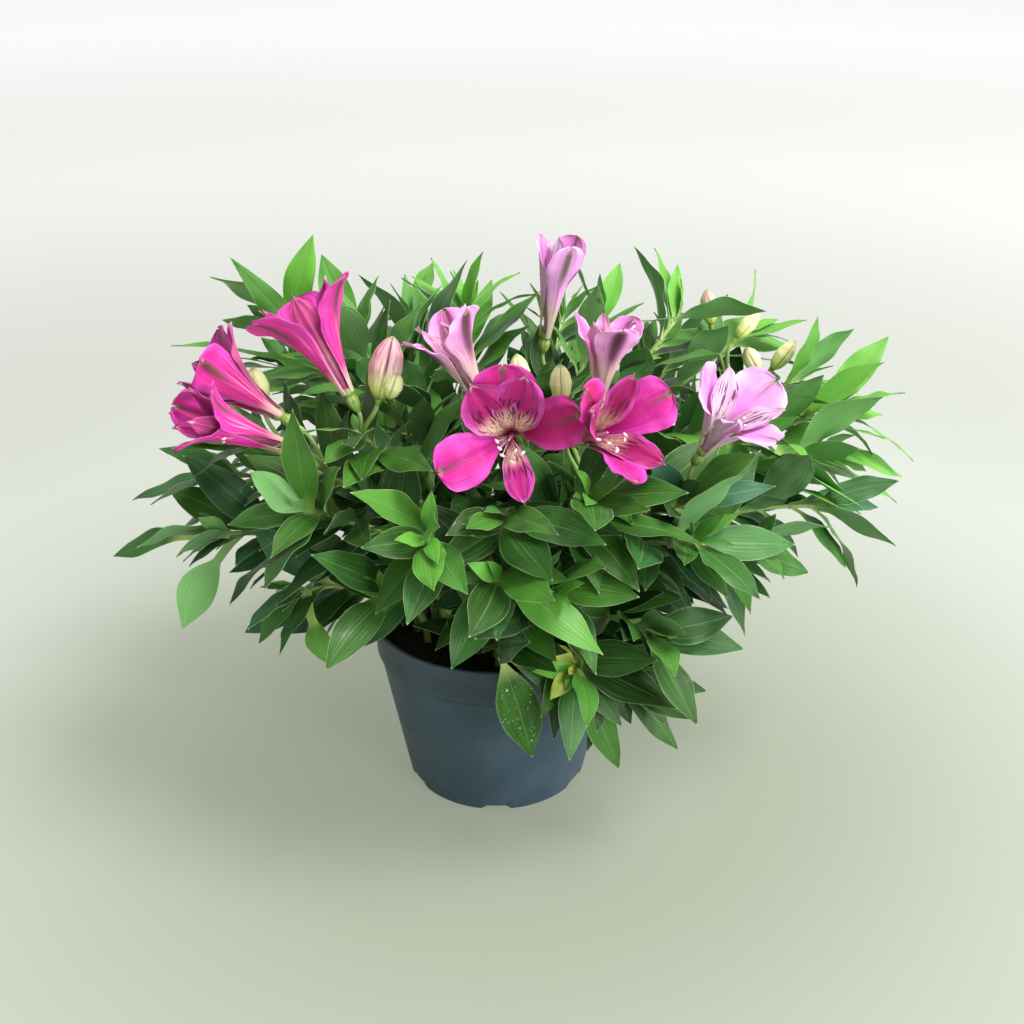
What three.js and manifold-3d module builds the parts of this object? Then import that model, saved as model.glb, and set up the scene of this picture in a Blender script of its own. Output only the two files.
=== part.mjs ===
// Potted peruvian lily: a young alstroemeria in bloom, in a 13 cm plastic nursery pot.
//
// Millimetres, +Z up. The origin is on the pot's axis at the level that the pot stands on,
// and -Y is the front. Every stem stands in a plain hole in the soil. A leafy shoot is one
// solid: its stem with the leaves, flower stalks and ovaries that grow from it. Each bloom
// and each bud is a solid of its own, on the end of its stalk.

import * as THREE from 'three';
import { mergeVertices } from 'three/addons/utils/BufferGeometryUtils.js';
import Module from 'manifold-3d';

const wasm = await Module();
wasm.setup();

const FIT_GAP = 0.3;

// Corners of one solid that a join leaves closer than this become one corner.
const LEAST_EDGE = 0.008;
const NEIGHBOUR_CELLS = [-1, 0, 1].flatMap((x) => [-1, 0, 1].flatMap((y) => [-1, 0, 1].map((z) => [x, y, z])));

// Pot: outer radii, heights and wall.
const POT_HEIGHT = 95;
const POT_RIM_RADIUS = 65;
const POT_LIP_THICKNESS = 1.8;
const POT_FOOT_RADIUS = 47.5;
const POT_WALL = 1.3;
const POT_EDGE_ROUNDING = 1.2;
const POT_BAND_HEIGHT = 20;
const POT_BAND_STEP = 1.4;
const POT_BAND_FLARE = 1.3;
const POT_BAND_CHAMFER = 0.6;
const POT_FLOOR_RAISE = 3;
const POT_FLOOR_THICKNESS = 1.8;
const POT_PAD_RADIUS = 9;
const POT_SIDES = 32;
const FOOT_RING_WIDTH = 4;
const FOOT_NOTCHES = 6;
const FOOT_NOTCH_WIDTH = 15;
const FOOT_NOTCH_SLOPE = 2;
const DRAIN_HOLES = 4;
const DRAIN_HOLE_RADIUS = 3.5;
const DRAIN_HOLE_CIRCLE = 28;

// Soil and the holes that the stems stand in.
const SOIL_TOP = 86;
const SOIL_SIDES = 24;
const SOIL_TO_WALL = 0.8;
const SOIL_ROUGHNESS = 1.6;
const STEM_FOOT_Z = 75;
const STEM_RISE_Z = 89;
const HOLE_CLEARANCE = 0.45;

// Stems.
const STEM_SIDES = 4;
const STEM_RADIUS = 2.1;
const STEM_TIP_RADIUS = 1.3;
const STEM_STEPS = 4;
const STEM_HANDLE = 0.36;
const STEM_LEAN = 1.5;
const STEM_LEAN_FROM = 25;
const LAST_LEAF_SHARE = 0.975;
const ROOT_DISC_RADIUS = 52;
const ROOT_DISC_POWER = 0.7;
const ROOT_SPACING = 9;
const ROOT_PASSES = 80;
const CROWN_CENTRE = new THREE.Vector3(8, 0, 125);

// Flower stalks, ovaries and buds.
const STALK_RADIUS = 1.1;
const OVARY_RADIUS = 2.6;
const OVARY_LENGTH = 7;
const BUD_SEAT_LENGTH = 2.5;
const STALK_HANDLE = 0.35;
const STALK_STATIONS = [0.1, 0.5, 1];
const BUD_SIDES = 6;
const BUD_OUTLINE = [[0, 0.32], [0.2, 0.8], [0.5, 1], [0.8, 0.7]];

// Leaves: a blade's section is a low roof, with its ridge along the midrib.
const LEAF_THICKNESS = 1.3;
const LEAF_STALK_WIDTH = 2.6;
const LEAF_STALK_SHARE = 0.05;
const LEAF_BLADE_RISE = 1.1;
const LEAF_BLADE_FALL = 1.2;
const LEAF_BLADE_SCALE = 4.914;
const LEAF_FACES = { tangent: 0.45, up: 0.55, stem: 0.4 };
const RULE_LEAF_STATIONS = [0.09, 0.42, 0.76];
const PLACED_LEAF_STATIONS = [0.09, 0.31, 0.58, 0.82];
const LEAF_CLEARANCE = 0.5;
const GOLDEN_ANGLE = 137.5;

// The leaf rule. Each pair is the value at the lowest leaf and at the tip of the shoot, and
// each spread is how far a leaf may differ from it. The lowest leaf is a share of the stem.
const LOWEST_LEAF = { flower: 0.5, leafy: 0.55, clump: 0.6 };
const LEAF_RULE = {
  climb: 0.75,
  round: GOLDEN_ANGLE,
  roundSpread: 14,
  away: [78, 36],
  awaySpread: 9,
  length: [60, 44],
  lengthSpread: 0.14,
  slimness: 0.34,
  slimnessSpread: 0.05,
  arch: 0.13,
  archSpread: 0.07,
  rollSpread: 22,
  droop: 0.16,
  droopSpread: 0.12,
  outwards: 0.35,
};
const PLACED_LEAF = { arch: 0.12, archSpread: 0.04, rollSpread: 10 };

// Tepals, the cup that they stand in, and stamens.
const TEPAL_THICKNESS = 1.1;
const TEPAL_MOST_WRAP = 1;
const TEPAL_SEAT = 1.2;
const CUP_RINGS = [[0, 2.3], [4, 3.6]];
const CUP_TIP = 11;
const CUP_SIDES = 6;
const STAMEN = { first: 150, apart: 37, reach: 0.62, droop: 9, seat: 2, radius: 0.5, antherRadius: 1.2 };

// How a leaf may be turned or shortened to grow clear of its neighbours: degrees round the
// stem, degrees away from the stem, and a share of its length. The first that is clear wins.
const LEAF_OPTIONS = [
  [0, 0, 1], [18, 0, 1], [-18, 0, 1], [0, 14, 1], [0, -14, 1], [32, 10, 0.92],
  [-32, 10, 0.92], [32, -12, 0.9], [-32, -12, 0.9], [52, 0, 0.85], [-52, 0, 0.85],
  [0, 26, 0.8], [0, -26, 0.8], [75, 8, 0.8], [-75, 8, 0.8], [0, 0, 0.6],
];

// Leafy shoots: name, place of the tip, and how many leaves follow the leaf rule.
const LEAFY_SHOOTS = [
  ['front_high', [5, -92, 191], 4],
  ['front_mid', [3, -100, 165], 4],
  ['front_mid_right', [26, -98, 158], 4],
  ['front_low', [3, -86, 116], 3],
  ['front_low_right', [38, -80, 107], 3],
  ['front_low_far_right', [56, -72, 98], 3],
  ['front_right_low', [70, -82, 126], 5],
  ['front_left', [-27, -98, 183], 5],
  ['front_left_low', [-46, -84, 148], 5],
  ['left_front', [-81, -78, 187], 6],
  ['right_front', [40, -95, 200], 5],
  ['right_mid', [88, -80, 173], 6],
  ['far_left_low', [-130, -32, 152], 5],
  ['left', [-130, -8, 174], 5],
  ['bottom_left', [-90, -60, 136], 5],
  ['left_up', [-115, -30, 200], 6],
  ['top_left', [-102, 17, 242], 3],
  ['top_left_inner', [-67, 5, 238], 7],
  ['top_mid_left', [-41, 10, 228], 6],
  ['top_mid', [-15, 27, 244], 6],
  ['top_mid_right', [53, 35, 238], 6],
  ['top_right', [91, 35, 240], 6],
  ['top_far_right', [127, 47, 226], 5],
  ['right_up', [154, 30, 208], 6],
  ['right_up_outer', [170, 12, 198], 5],
  ['right', [160, -6, 184], 6],
  ['right_low', [155, -28, 165], 5],
  ['right_low_inner', [116, -58, 157], 5],
];

// Clumps behind the crown: shoots that rise from one root.
const BACK_CLUMPS = [
  ['back_left', [[-112, 70, 200], [-128, 62, 160], [-80, 105, 190]], 4],
  ['back_mid_left', [[-45, 80, 222], [-38, 130, 185], [-50, 112, 145]], 4],
  ['back_mid_right', [[35, 85, 222], [45, 135, 180], [12, 112, 160]], 4],
  ['back_right', [[105, 85, 205], [95, 115, 165], [140, 75, 165]], 4],
];

// Flower stems: name, place where the stalks part, and leaves that follow the leaf rule.
const FLOWER_STEMS = [
  ['flower_stem_left', [-77, -42, 188], 6],
  ['flower_stem_mid_left', [-61, -52, 214], 6],
  ['flower_stem_centre_left', [-4, -40, 203], 6],
  ['flower_stem_centre', [15, -38, 196], 5],
  ['flower_stem_back', [27, 22, 212], 6],
  ['flower_stem_mid_right', [43, -58, 188], 6],
  ['flower_stem_right', [88, -56, 180], 6],
  ['flower_stem_buds', [122, 34, 197], 5],
];

// Leaves that show most, each with its own place: shoot, how far along it, tip and width.
const PLACED_LEAVES = [
  ['front_high', 0.9, [14, -128, 174], 19],
  ['front_high', 0.97, [40, -121, 179], 17],
  ['front_mid', 0.9, [-18, -114, 129], 18],
  ['front_mid', 0.97, [46, -118, 138], 18],
  ['front_mid_right', 0.94, [60, -112, 152], 17],
  ['front_low', 0.96, [17, -84, 62], 20],
  ['front_low', 0.9, [29, -79, 74], 9],
  ['front_low_right', 0.96, [59, -79, 50], 16],
  ['front_low_right', 0.85, [73, -95, 121], 17],
  ['front_low_far_right', 0.96, [87, -70, 54], 16],
  ['front_low_far_right', 0.85, [100, -70, 88], 15],
  ['front_right_low', 0.96, [108, -74, 131], 17],
  ['front_left', 0.97, [-23, -130, 176], 15],
  ['front_left', 0.86, [-50, -101, 148], 17],
  ['left_front', 0.97, [-80, -92, 240], 15],
  ['left_front', 0.9, [-62, -100, 217], 16],
  ['right_front', 0.93, [80, -106, 208], 17],
  ['right_front', 0.8, [90, -98, 183], 15],
  ['right_mid', 0.96, [134, -72, 167], 16],
  ['flower_stem_right', 0.95, [132, -70, 198], 13],
  ['flower_stem_mid_left', 0.88, [-24, -96, 213], 14],
  ['far_left_low', 0.93, [-160, -52, 121], 21],
  ['far_left_low', 0.97, [-187, -25, 137], 13],
  ['far_left_low', 0.86, [-160, -10, 166], 17],
  ['left', 0.96, [-179, 0, 153], 12],
  ['bottom_left', 0.96, [-77, -64, 98], 14],
  ['bottom_left', 0.86, [-108, -68, 117], 15],
  ['left_up', 0.96, [-150, -20, 193], 12],
  ['top_left', 0.97, [-85, 20, 283], 15],
  ['top_left', 0.86, [-126, 8, 279], 12],
  ['top_left', 0.92, [-117, 32, 277], 11],
  ['top_left', 0.8, [-148, 12, 250], 6],
  ['top_left_inner', 0.97, [-53, 10, 265], 13],
  ['top_mid_left', 0.9, [-13, 14, 272], 20],
  ['top_mid', 0.93, [20, 26, 254], 10],
  ['top_mid', 0.97, [6, 38, 266], 9],
  ['top_right', 0.95, [77, 47, 271], 10],
  ['top_far_right', 0.97, [130, 57, 256], 12],
  ['right_up', 0.93, [163, 42, 240], 14],
  ['right_up_outer', 0.94, [194, 30, 230], 15],
  ['right_up_outer', 0.97, [200, 8, 214], 16],
  ['right', 0.97, [206, 0, 177], 17],
  ['right', 0.88, [213, 12, 158], 14],
  ['right', 0.8, [177, -36, 178], 15],
  ['right_low', 0.96, [177, -24, 118], 16],
  ['right_low', 0.9, [196, 0, 136], 14],
  ['right_low_inner', 0.95, [147, -49, 140], 15],
];

// The two kinds of tepal: length against the bloom's, greatest width, distance of the base
// from the axis, and the width at stations along it and at its tip, as shares of the greatest.
const OUTER_TEPAL = {
  length: 1, width: 25, ring: 2.9, tip: 0.4,
  stations: [0.13, 0.4, 0.7, 0.9], shares: [0.17, 0.5, 0.98, 0.86],
};
const INNER_TEPAL = {
  length: 0.95, width: 13.5, ring: 1.2, tip: 0, stations: [0.16, 0.66, 0.88], shares: [0.28, 1, 0.7],
};

// Blooms: the stem they grow on, the base of the tepals, a point that the bloom looks at, the
// way its top tepal leans, length, opening angles at the base and at the tips of the outer
// and inner tepals, places of both kinds round the axis, and how many stamens stand out.
const BLOOMS = [
  {
    name: 'bloom_left_upper', stem: 'flower_stem_left', base: [-93, -50, 219], look: [-133, -50, 247],
    top: [0, 0, 1], length: 48, open: [8, 29, 21], outer: [62, 184, 302], inner: [3, 122, 243],
    stamens: 3, width: 0.86, color: 0xc2187f,
  },
  {
    name: 'bloom_left_lower', stem: 'flower_stem_left', base: [-89, -66, 212], look: [-134, -88, 238],
    top: [0, 0, 1], length: 50, open: [5, 19, 12], outer: [30, 150, 270], inner: [90, 210, 330],
    stamens: 0, width: 0.8, color: 0xb81d78,
  },
  {
    name: 'bloom_mid_left', stem: 'flower_stem_mid_left', base: [-63, -50, 229], look: [-84, -42, 268],
    top: [0, -1, 0], length: 54, open: [7, 40, 27], outer: [35, 165, 285], inner: [100, 225, 345],
    stamens: 0, width: 0.92, color: 0xcf2187,
  },
  {
    name: 'bloom_centre_left', stem: 'flower_stem_centre_left', base: [-6, -57, 229], look: [-17, -55, 256],
    top: [1, 0, 0.3], length: 42, open: [7, 24, 18], outer: [12, 146, 266], inner: [90, 208, 330],
    stamens: 0, width: 0.8, color: 0xe275bd,
  },
  {
    name: 'bloom_centre', stem: 'flower_stem_centre', base: [8, -67, 218], look: [6, -97, 226],
    top: [0, 0, 1], length: 41, open: [14, 84, 72], outer: [355, 68, 245], inner: [322, 20, 163],
    stamens: 4, width: 1, color: 0xd01f86,
  },
  {
    name: 'bloom_back', stem: 'flower_stem_back', base: [24, 20, 232], look: [31, 15, 281],
    top: [0, -1, 0], length: 50, open: [4, 16, 10], outer: [350, 112, 238], inner: [54, 174, 296],
    stamens: 0, width: 0.78, color: 0xdf6bc0,
  },
  {
    name: 'bloom_mid_right_upper', stem: 'flower_stem_mid_right', base: [46, -54, 228], look: [49, -52, 256],
    top: [0, -1, 0], length: 38, open: [7, 28, 20], outer: [345, 105, 225], inner: [45, 165, 285],
    stamens: 0, width: 0.75, color: 0xd957ad,
  },
  {
    name: 'bloom_mid_right', stem: 'flower_stem_mid_right', base: [37, -74, 218], look: [59, -104, 238],
    top: [0, 0, 1], length: 43, open: [12, 56, 48], outer: [318, 68, 210], inner: [285, 20, 135],
    stamens: 4, width: 0.95, color: 0xcb1f7f,
  },
  {
    name: 'bloom_right', stem: 'flower_stem_right', base: [91, -60, 206], look: [104, -76, 240],
    top: [0, 0, 1], length: 44, open: [8, 52, 38], outer: [285, 60, 180], inner: [350, 115, 230],
    stamens: 3, width: 0.88, color: 0xe08acd,
  },
];

// Buds: stem, base and tip of the bud, and its greatest radius.
const BUDS = [
  ['bud_opening', 'flower_stem_mid_left', [-50, -53, 229], [-43, -50, 256], 7.2, 0xd9a0b8],
  ['bud_left', 'flower_stem_left', [-105, -33, 218], [-108, -33, 236], 5.2, 0xd9de9a],
  ['bud_centre', 'flower_stem_centre', [13, -38, 226], [10, -38, 244], 4.6, 0xcfd98c],
  ['bud_mid_right', 'flower_stem_mid_right', [30, -44, 224], [29, -43, 241], 4.8, 0xc3cf86],
  ['bud_right_high', 'flower_stem_buds', [107, 39, 233], [104, 41, 250], 4.2, 0xe3c9a8],
  ['bud_right_mid', 'flower_stem_buds', [120, 38, 226], [131, 41, 239], 3.8, 0xc8d57a],
  ['bud_right_near', 'flower_stem_buds', [129, 24, 214], [122, 20, 227], 4.2, 0xcfdb7d],
  ['bud_right_low', 'flower_stem_buds', [138, 32, 212], [148, 31, 227], 4.2, 0xd5dc8a],
];

const COLORS = {
  pot: 0x45545f,
  soil: 0x1c1712,
  leafy: [0x2f6b2c, 0x3c7a31, 0x2a6236, 0x4a8a3a],
  freshLeafy: 0x6fae4a,
};
const FRESH_SHOOTS = ['top_left', 'right', 'right_up_outer', 'top_mid_right'];

const UP = new THREE.Vector3(0, 0, 1);
const DEGREE = Math.PI / 180;

// A linear congruential draw, so that every run gives the same plant.
let randomState = 20240611;
function random() {
  randomState = (Math.imul(randomState, 1664525) + 1013904223) >>> 0;
  return randomState / 4294967296;
}

function spread(amount) {
  return (random() * 2 - 1) * amount;
}

function point(xyz) {
  return new THREE.Vector3(...xyz);
}

function unit(vector) {
  return vector.clone().normalize();
}

// The sum of vectors, each with its own weight: [vector, weight], [vector, weight] ...
function blend(...terms) {
  const sum = new THREE.Vector3();
  for (const [vector, weight] of terms) {
    sum.addScaledVector(vector, weight);
  }
  return sum;
}

function cross(a, b) {
  return new THREE.Vector3().crossVectors(a, b);
}

function mix(a, b, share) {
  return a + (b - a) * share;
}

// A closed surface over rings of points, which run counter-clockwise about the way on.
// A ring of one point is a pointed end, and the end rings are capped.
function skin(rings) {
  const positions = [];
  const triangle = (...corners) => corners.forEach((corner) => positions.push(...corner.toArray()));
  const first = rings[0];
  const last = rings[rings.length - 1];
  for (let i = 1; i + 1 < first.length; i += 1) {
    triangle(first[0], first[i + 1], first[i]);
  }
  for (let i = 1; i + 1 < last.length; i += 1) {
    triangle(last[0], last[i], last[i + 1]);
  }
  for (let k = 0; k + 1 < rings.length; k += 1) {
    const lower = rings[k];
    const upper = rings[k + 1];
    const sides = Math.max(lower.length, upper.length);
    for (let i = 0; i < sides; i += 1) {
      const j = (i + 1) % sides;
      if (lower.length > 1) {
        triangle(lower[i], lower[j], upper[j % upper.length]);
      }
      if (upper.length > 1) {
        triangle(lower[i % lower.length], upper[j], upper[i]);
      }
    }
  }
  const geometry = new THREE.BufferGeometry();
  geometry.setAttribute('position', new THREE.Float32BufferAttribute(positions, 3));
  return geometry;
}

function toSolid(geometry) {
  const bare = geometry.clone();
  bare.deleteAttribute('normal');
  bare.deleteAttribute('uv');
  const merged = mergeVertices(bare, 1e-4);
  return new wasm.Manifold(new wasm.Mesh({
    numProp: 3,
    vertProperties: merged.attributes.position.array,
    triVerts: Uint32Array.from(merged.index.array),
  }));
}

// For each corner of a mesh, the first corner that lies on almost the same spot.
function cornersByPlace(places) {
  const cells = new Map();
  const cellOf = (corner, shift) => [0, 1, 2]
    .map((axis) => Math.floor(places[3 * corner + axis] / LEAST_EDGE) + shift[axis]).join();
  const apart = (a, b) => Math.hypot(...[0, 1, 2].map((axis) => places[3 * a + axis] - places[3 * b + axis]));
  return Array.from({ length: places.length / 3 }, (_, corner) => {
    const near = NEIGHBOUR_CELLS.flatMap((shift) => cells.get(cellOf(corner, shift)) ?? []);
    const twin = near.find((other) => apart(corner, other) < LEAST_EDGE);
    if (twin !== undefined) {
      return twin;
    }
    const home = cellOf(corner, [0, 0, 0]);
    cells.set(home, [...(cells.get(home) ?? []), corner]);
    return corner;
  });
}

// The surface of a solid, without the specks of triangles that a join can leave.
function toGeometry(solid) {
  const mesh = solid.getMesh();
  const corners = cornersByPlace(mesh.vertProperties);
  const faces = [];
  for (let i = 0; i < mesh.triVerts.length; i += 3) {
    const face = [0, 1, 2].map((k) => corners[mesh.triVerts[i + k]]);
    if (new Set(face).size === 3) {
      faces.push(...face);
    }
  }
  const geometry = new THREE.BufferGeometry();
  geometry.setAttribute('position', new THREE.Float32BufferAttribute(mesh.vertProperties, 3));
  geometry.setIndex(faces);
  geometry.computeVertexNormals();
  return geometry;
}

function fuse(solids) {
  return solids.reduce((whole, solid) => whole.add(solid));
}

// A ring of points round a place, across the way on.
function ringAround(centre, way, side, radius, sides) {
  const other = cross(way, side);
  const ring = [];
  for (let i = 0; i < sides; i += 1) {
    const angle = (2 * Math.PI * i) / sides;
    ring.push(blend([centre, 1], [side, radius * Math.cos(angle)], [other, radius * Math.sin(angle)]));
  }
  return ring;
}

// A side direction square to the way on, as near as can be to the wanted one.
function squareTo(way, wanted) {
  return blend([wanted, 1], [way, -wanted.dot(way)]).normalize();
}

// The pot: a turned shell with a band below the rim, a raised floor and a foot ring, whose
// notches let water out. A small pad in the middle of the floor stands level with the foot.
function makePot() {
  const wallTop = POT_HEIGHT - POT_BAND_HEIGHT;
  const bandRadius = POT_RIM_RADIUS - POT_BAND_FLARE;
  const stepRadius = bandRadius - POT_BAND_STEP;
  const ringInside = POT_FOOT_RADIUS - FOOT_RING_WIDTH;
  const floorTop = POT_FLOOR_RAISE + POT_FLOOR_THICKNESS;
  const profile = [
    [0, 0], [POT_PAD_RADIUS, 0], [POT_PAD_RADIUS + 1, POT_FLOOR_RAISE],
    [ringInside - 1, POT_FLOOR_RAISE], [ringInside, 0], [POT_FOOT_RADIUS - 1, 0],
    [POT_FOOT_RADIUS, POT_EDGE_ROUNDING], [stepRadius, wallTop - POT_BAND_CHAMFER],
    [bandRadius, wallTop + POT_BAND_CHAMFER], [POT_RIM_RADIUS, POT_HEIGHT - POT_EDGE_ROUNDING],
    [POT_RIM_RADIUS - 0.3, POT_HEIGHT], [POT_RIM_RADIUS - POT_LIP_THICKNESS, POT_HEIGHT],
    [stepRadius - POT_WALL, wallTop - 2],
    [POT_FOOT_RADIUS - POT_WALL, floorTop], [0, floorTop],
  ];
  const outline = profile.map(([radius, height]) => new THREE.Vector2(radius, height));
  const shell = new THREE.LatheGeometry(outline, POT_SIDES);
  shell.rotateX(Math.PI / 2);
  let pot = toSolid(shell);
  for (let i = 0; i < FOOT_NOTCHES; i += 1) {
    const half = FOOT_NOTCH_WIDTH / 2;
    const notchTop = POT_FLOOR_RAISE - 0.2;
    const notchShape = new THREE.Shape();
    notchShape.moveTo(-half, -1);
    notchShape.lineTo(half, -1);
    notchShape.lineTo(half - FOOT_NOTCH_SLOPE, notchTop);
    notchShape.lineTo(FOOT_NOTCH_SLOPE - half, notchTop);
    const depth = FOOT_RING_WIDTH + 5;
    const notch = new THREE.ExtrudeGeometry(notchShape, { depth, bevelEnabled: false });
    notch.rotateX(Math.PI / 2);
    notch.translate(0, -(ringInside - 3), 0);
    notch.rotateZ((2 * Math.PI * i) / FOOT_NOTCHES);
    pot = pot.subtract(toSolid(notch));
  }
  for (let i = 0; i < DRAIN_HOLES; i += 1) {
    const drain = new THREE.CylinderGeometry(DRAIN_HOLE_RADIUS, DRAIN_HOLE_RADIUS, 8, 6);
    drain.rotateX(Math.PI / 2);
    drain.translate(DRAIN_HOLE_CIRCLE, 0, POT_FLOOR_RAISE + POT_FLOOR_THICKNESS / 2);
    drain.rotateZ((2 * Math.PI * (i + 0.5)) / DRAIN_HOLES);
    pot = pot.subtract(toSolid(drain));
  }
  return pot;
}

// The soil fills the pot to a little below the rim. Its top is crumbly, so it is uneven.
function makeSoil(stems) {
  const floorTop = POT_FLOOR_RAISE + POT_FLOOR_THICKNESS + FIT_GAP;
  const wallTop = POT_HEIGHT - POT_BAND_HEIGHT - 2;
  const edge = POT_RIM_RADIUS - POT_BAND_FLARE - POT_BAND_STEP - POT_WALL - SOIL_TO_WALL;
  const profile = [
    [0, floorTop], [POT_FOOT_RADIUS - POT_WALL - SOIL_TO_WALL, floorTop], [edge, wallTop],
    [edge + 0.4, SOIL_TOP - 3], [edge - 7, SOIL_TOP - 0.5], [edge - 29, SOIL_TOP + 0.5],
    [0, SOIL_TOP],
  ];
  const outline = profile.map(([radius, height]) => new THREE.Vector2(radius, height));
  const body = new THREE.LatheGeometry(outline, SOIL_SIDES);
  body.rotateX(Math.PI / 2);
  const places = body.attributes.position;
  for (let i = 0; i < places.count; i += 1) {
    if (places.getZ(i) > SOIL_TOP - 2) {
      const lump = Math.sin(places.getX(i) * 0.37) * Math.cos(places.getY(i) * 0.43 + 1);
      places.setZ(i, places.getZ(i) + lump * SOIL_ROUGHNESS);
    }
  }
  let soil = toSolid(body);
  for (const stem of stems) {
    const radius = STEM_RADIUS + HOLE_CLEARANCE;
    const foot = stem.root.clone().setZ(STEM_FOOT_Z - FIT_GAP);
    const mouth = stem.root.clone().setZ(SOIL_TOP + 8);
    const hole = skin([foot, mouth].map((end) => ringAround(end, UP, stem.across, radius, STEM_SIDES)));
    soil = soil.subtract(toSolid(hole));
  }
  return soil;
}

// Roots: the steeper a shoot stands, the nearer the middle of the pot it springs. They are
// then moved apart until each has room for its own hole.
function placeRoots(tips) {
  const roots = tips.map((tip) => {
    const reach = Math.hypot(tip.x, tip.y);
    const elevation = Math.atan2(tip.z - SOIL_TOP, reach) / DEGREE;
    const radius = ROOT_DISC_RADIUS * (1 - elevation / 90) ** ROOT_DISC_POWER;
    return new THREE.Vector3((tip.x / reach) * radius, (tip.y / reach) * radius, STEM_RISE_Z);
  });
  for (let pass = 0; pass < ROOT_PASSES; pass += 1) {
    for (let i = 0; i < roots.length; i += 1) {
      for (let j = 0; j < i; j += 1) {
        const apart = roots[i].clone().sub(roots[j]);
        const distance = apart.length();
        if (distance < ROOT_SPACING) {
          const push = (0.5 * (ROOT_SPACING - distance)) / Math.max(distance, 0.01);
          roots[i].addScaledVector(apart, push);
          roots[j].addScaledVector(apart, -push);
        }
      }
      const outside = Math.hypot(roots[i].x, roots[i].y) / ROOT_DISC_RADIUS;
      if (outside > 1) {
        roots[i].x /= outside;
        roots[i].y /= outside;
      }
    }
  }
  return roots;
}

// A stem: straight out of the soil, then one smooth curve in an upright plane to its tip.
// A low shoot leans over the rim, and a high one stands nearly upright to the end.
function makeStem(root, tip) {
  const run = tip.clone().sub(root).setZ(0);
  const forward = unit(run);
  const reach = Math.hypot(tip.x, tip.y);
  const lean = STEM_LEAN * (Math.atan2(tip.z - SOIL_TOP, reach) - STEM_LEAN_FROM * DEGREE);
  const ending = blend([forward, Math.cos(lean)], [UP, Math.sin(lean)]);
  const handle = STEM_HANDLE * tip.distanceTo(root);
  const curve = new THREE.CubicBezierCurve3(
    root.clone(),
    root.clone().addScaledVector(UP, handle),
    tip.clone().addScaledVector(ending, -handle),
    tip.clone(),
  );
  return { root, tip, curve, across: unit(cross(forward, UP)) };
}

function stemRings(stem) {
  const foot = stem.root.clone().setZ(STEM_FOOT_Z);
  const rings = [ringAround(foot, UP, stem.across, STEM_RADIUS, STEM_SIDES)];
  for (let i = 0; i <= STEM_STEPS; i += 1) {
    const t = (LAST_LEAF_SHARE * i) / STEM_STEPS;
    const radius = mix(STEM_RADIUS, STEM_TIP_RADIUS, t);
    const way = i === 0 ? UP : stem.curve.getTangent(t);
    rings.push(ringAround(stem.curve.getPoint(t), way, stem.across, radius, STEM_SIDES));
  }
  return [...rings, [stem.tip]];
}

// A leaf starts inside its stem. Its length is the straight way from there to its tip.
function makeLeaf(stem, t, way, length, width, arch, roll, stations) {
  const start = stem.curve.getPoint(t);
  const tangent = stem.curve.getTangent(t);
  const looks = blend([tangent, LEAF_FACES.tangent], [UP, LEAF_FACES.up]).normalize();
  const level = blend([unit(cross(way, looks)), 1], [unit(cross(way, tangent)), LEAF_FACES.stem]);
  const side = squareTo(way, level).applyAxisAngle(way, roll);
  const face = cross(side, way);
  return { start, tangent, way, length, width, arch, side, face, stations };
}

// The same leaf turned by one of the options.
function turnLeaf(leaf, [round, away, share]) {
  const hinge = unit(cross(leaf.tangent, leaf.way));
  const turn = (vector) => vector.clone()
    .applyAxisAngle(hinge, away * DEGREE)
    .applyAxisAngle(leaf.tangent, round * DEGREE);
  return {
    ...leaf,
    way: turn(leaf.way),
    side: turn(leaf.side),
    face: turn(leaf.face),
    length: leaf.length * share,
    width: leaf.width * mix(1, share, 0.6),
  };
}

function leafCurve(leaf) {
  const tip = blend([leaf.start, 1], [leaf.way, leaf.length]);
  const bend = blend([leaf.start, 0.5], [tip, 0.5], [leaf.face, leaf.arch * leaf.length]);
  return new THREE.QuadraticBezierCurve3(leaf.start.clone(), bend, tip);
}

// Half the width of a leaf, from its short stalk to its tip.
function leafHalfWidth(leaf, s) {
  const stalk = LEAF_STALK_WIDTH / 2;
  const along = Math.max(0, (s - LEAF_STALK_SHARE) / (1 - LEAF_STALK_SHARE));
  const blade = LEAF_BLADE_SCALE * along ** LEAF_BLADE_RISE * (1 - along) ** LEAF_BLADE_FALL;
  return Math.max(stalk * Math.min(1, 4 * (1 - s)), (blade * leaf.width) / 2);
}

// A leaf's rings. With clearance it is the room that the leaf needs round it.
function leafRings(leaf, clearance) {
  const curve = leafCurve(leaf);
  const rings = leaf.stations.map((s) => {
    const centre = curve.getPoint(s);
    const way = curve.getTangent(s);
    const up = cross(leaf.side, way);
    const half = leafHalfWidth(leaf, s) + clearance;
    const right = blend([centre, 1], [leaf.side, half]);
    const left = blend([centre, 1], [leaf.side, -half]);
    const ridge = blend([centre, 1], [up, LEAF_THICKNESS + clearance]);
    const keel = blend([centre, 1], [up, -clearance]);
    return clearance > 0 ? [ridge, right, keel, left] : [ridge, right, left];
  });
  return { root: [leaf.start], rings, tip: [curve.getPoint(1)] };
}

function leafSolid(leaf) {
  const { root, rings, tip } = leafRings(leaf, 0);
  return toSolid(skin([root, ...rings, tip]));
}

// What is already in place, so that no leaf grows through it.
const obstacles = [];

function addObstacle(owner, whole, outer) {
  obstacles.push({ owner, whole, outer, wholeBox: whole.boundingBox(), outerBox: outer?.boundingBox() });
}

function boxesMeet(a, b) {
  return [0, 1, 2].every((axis) => a.min[axis] <= b.max[axis] && b.min[axis] <= a.max[axis]);
}

function solidsMeet(a, b) {
  const shared = a.intersect(b);
  const meet = !shared.isEmpty();
  shared.delete();
  return meet;
}

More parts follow.
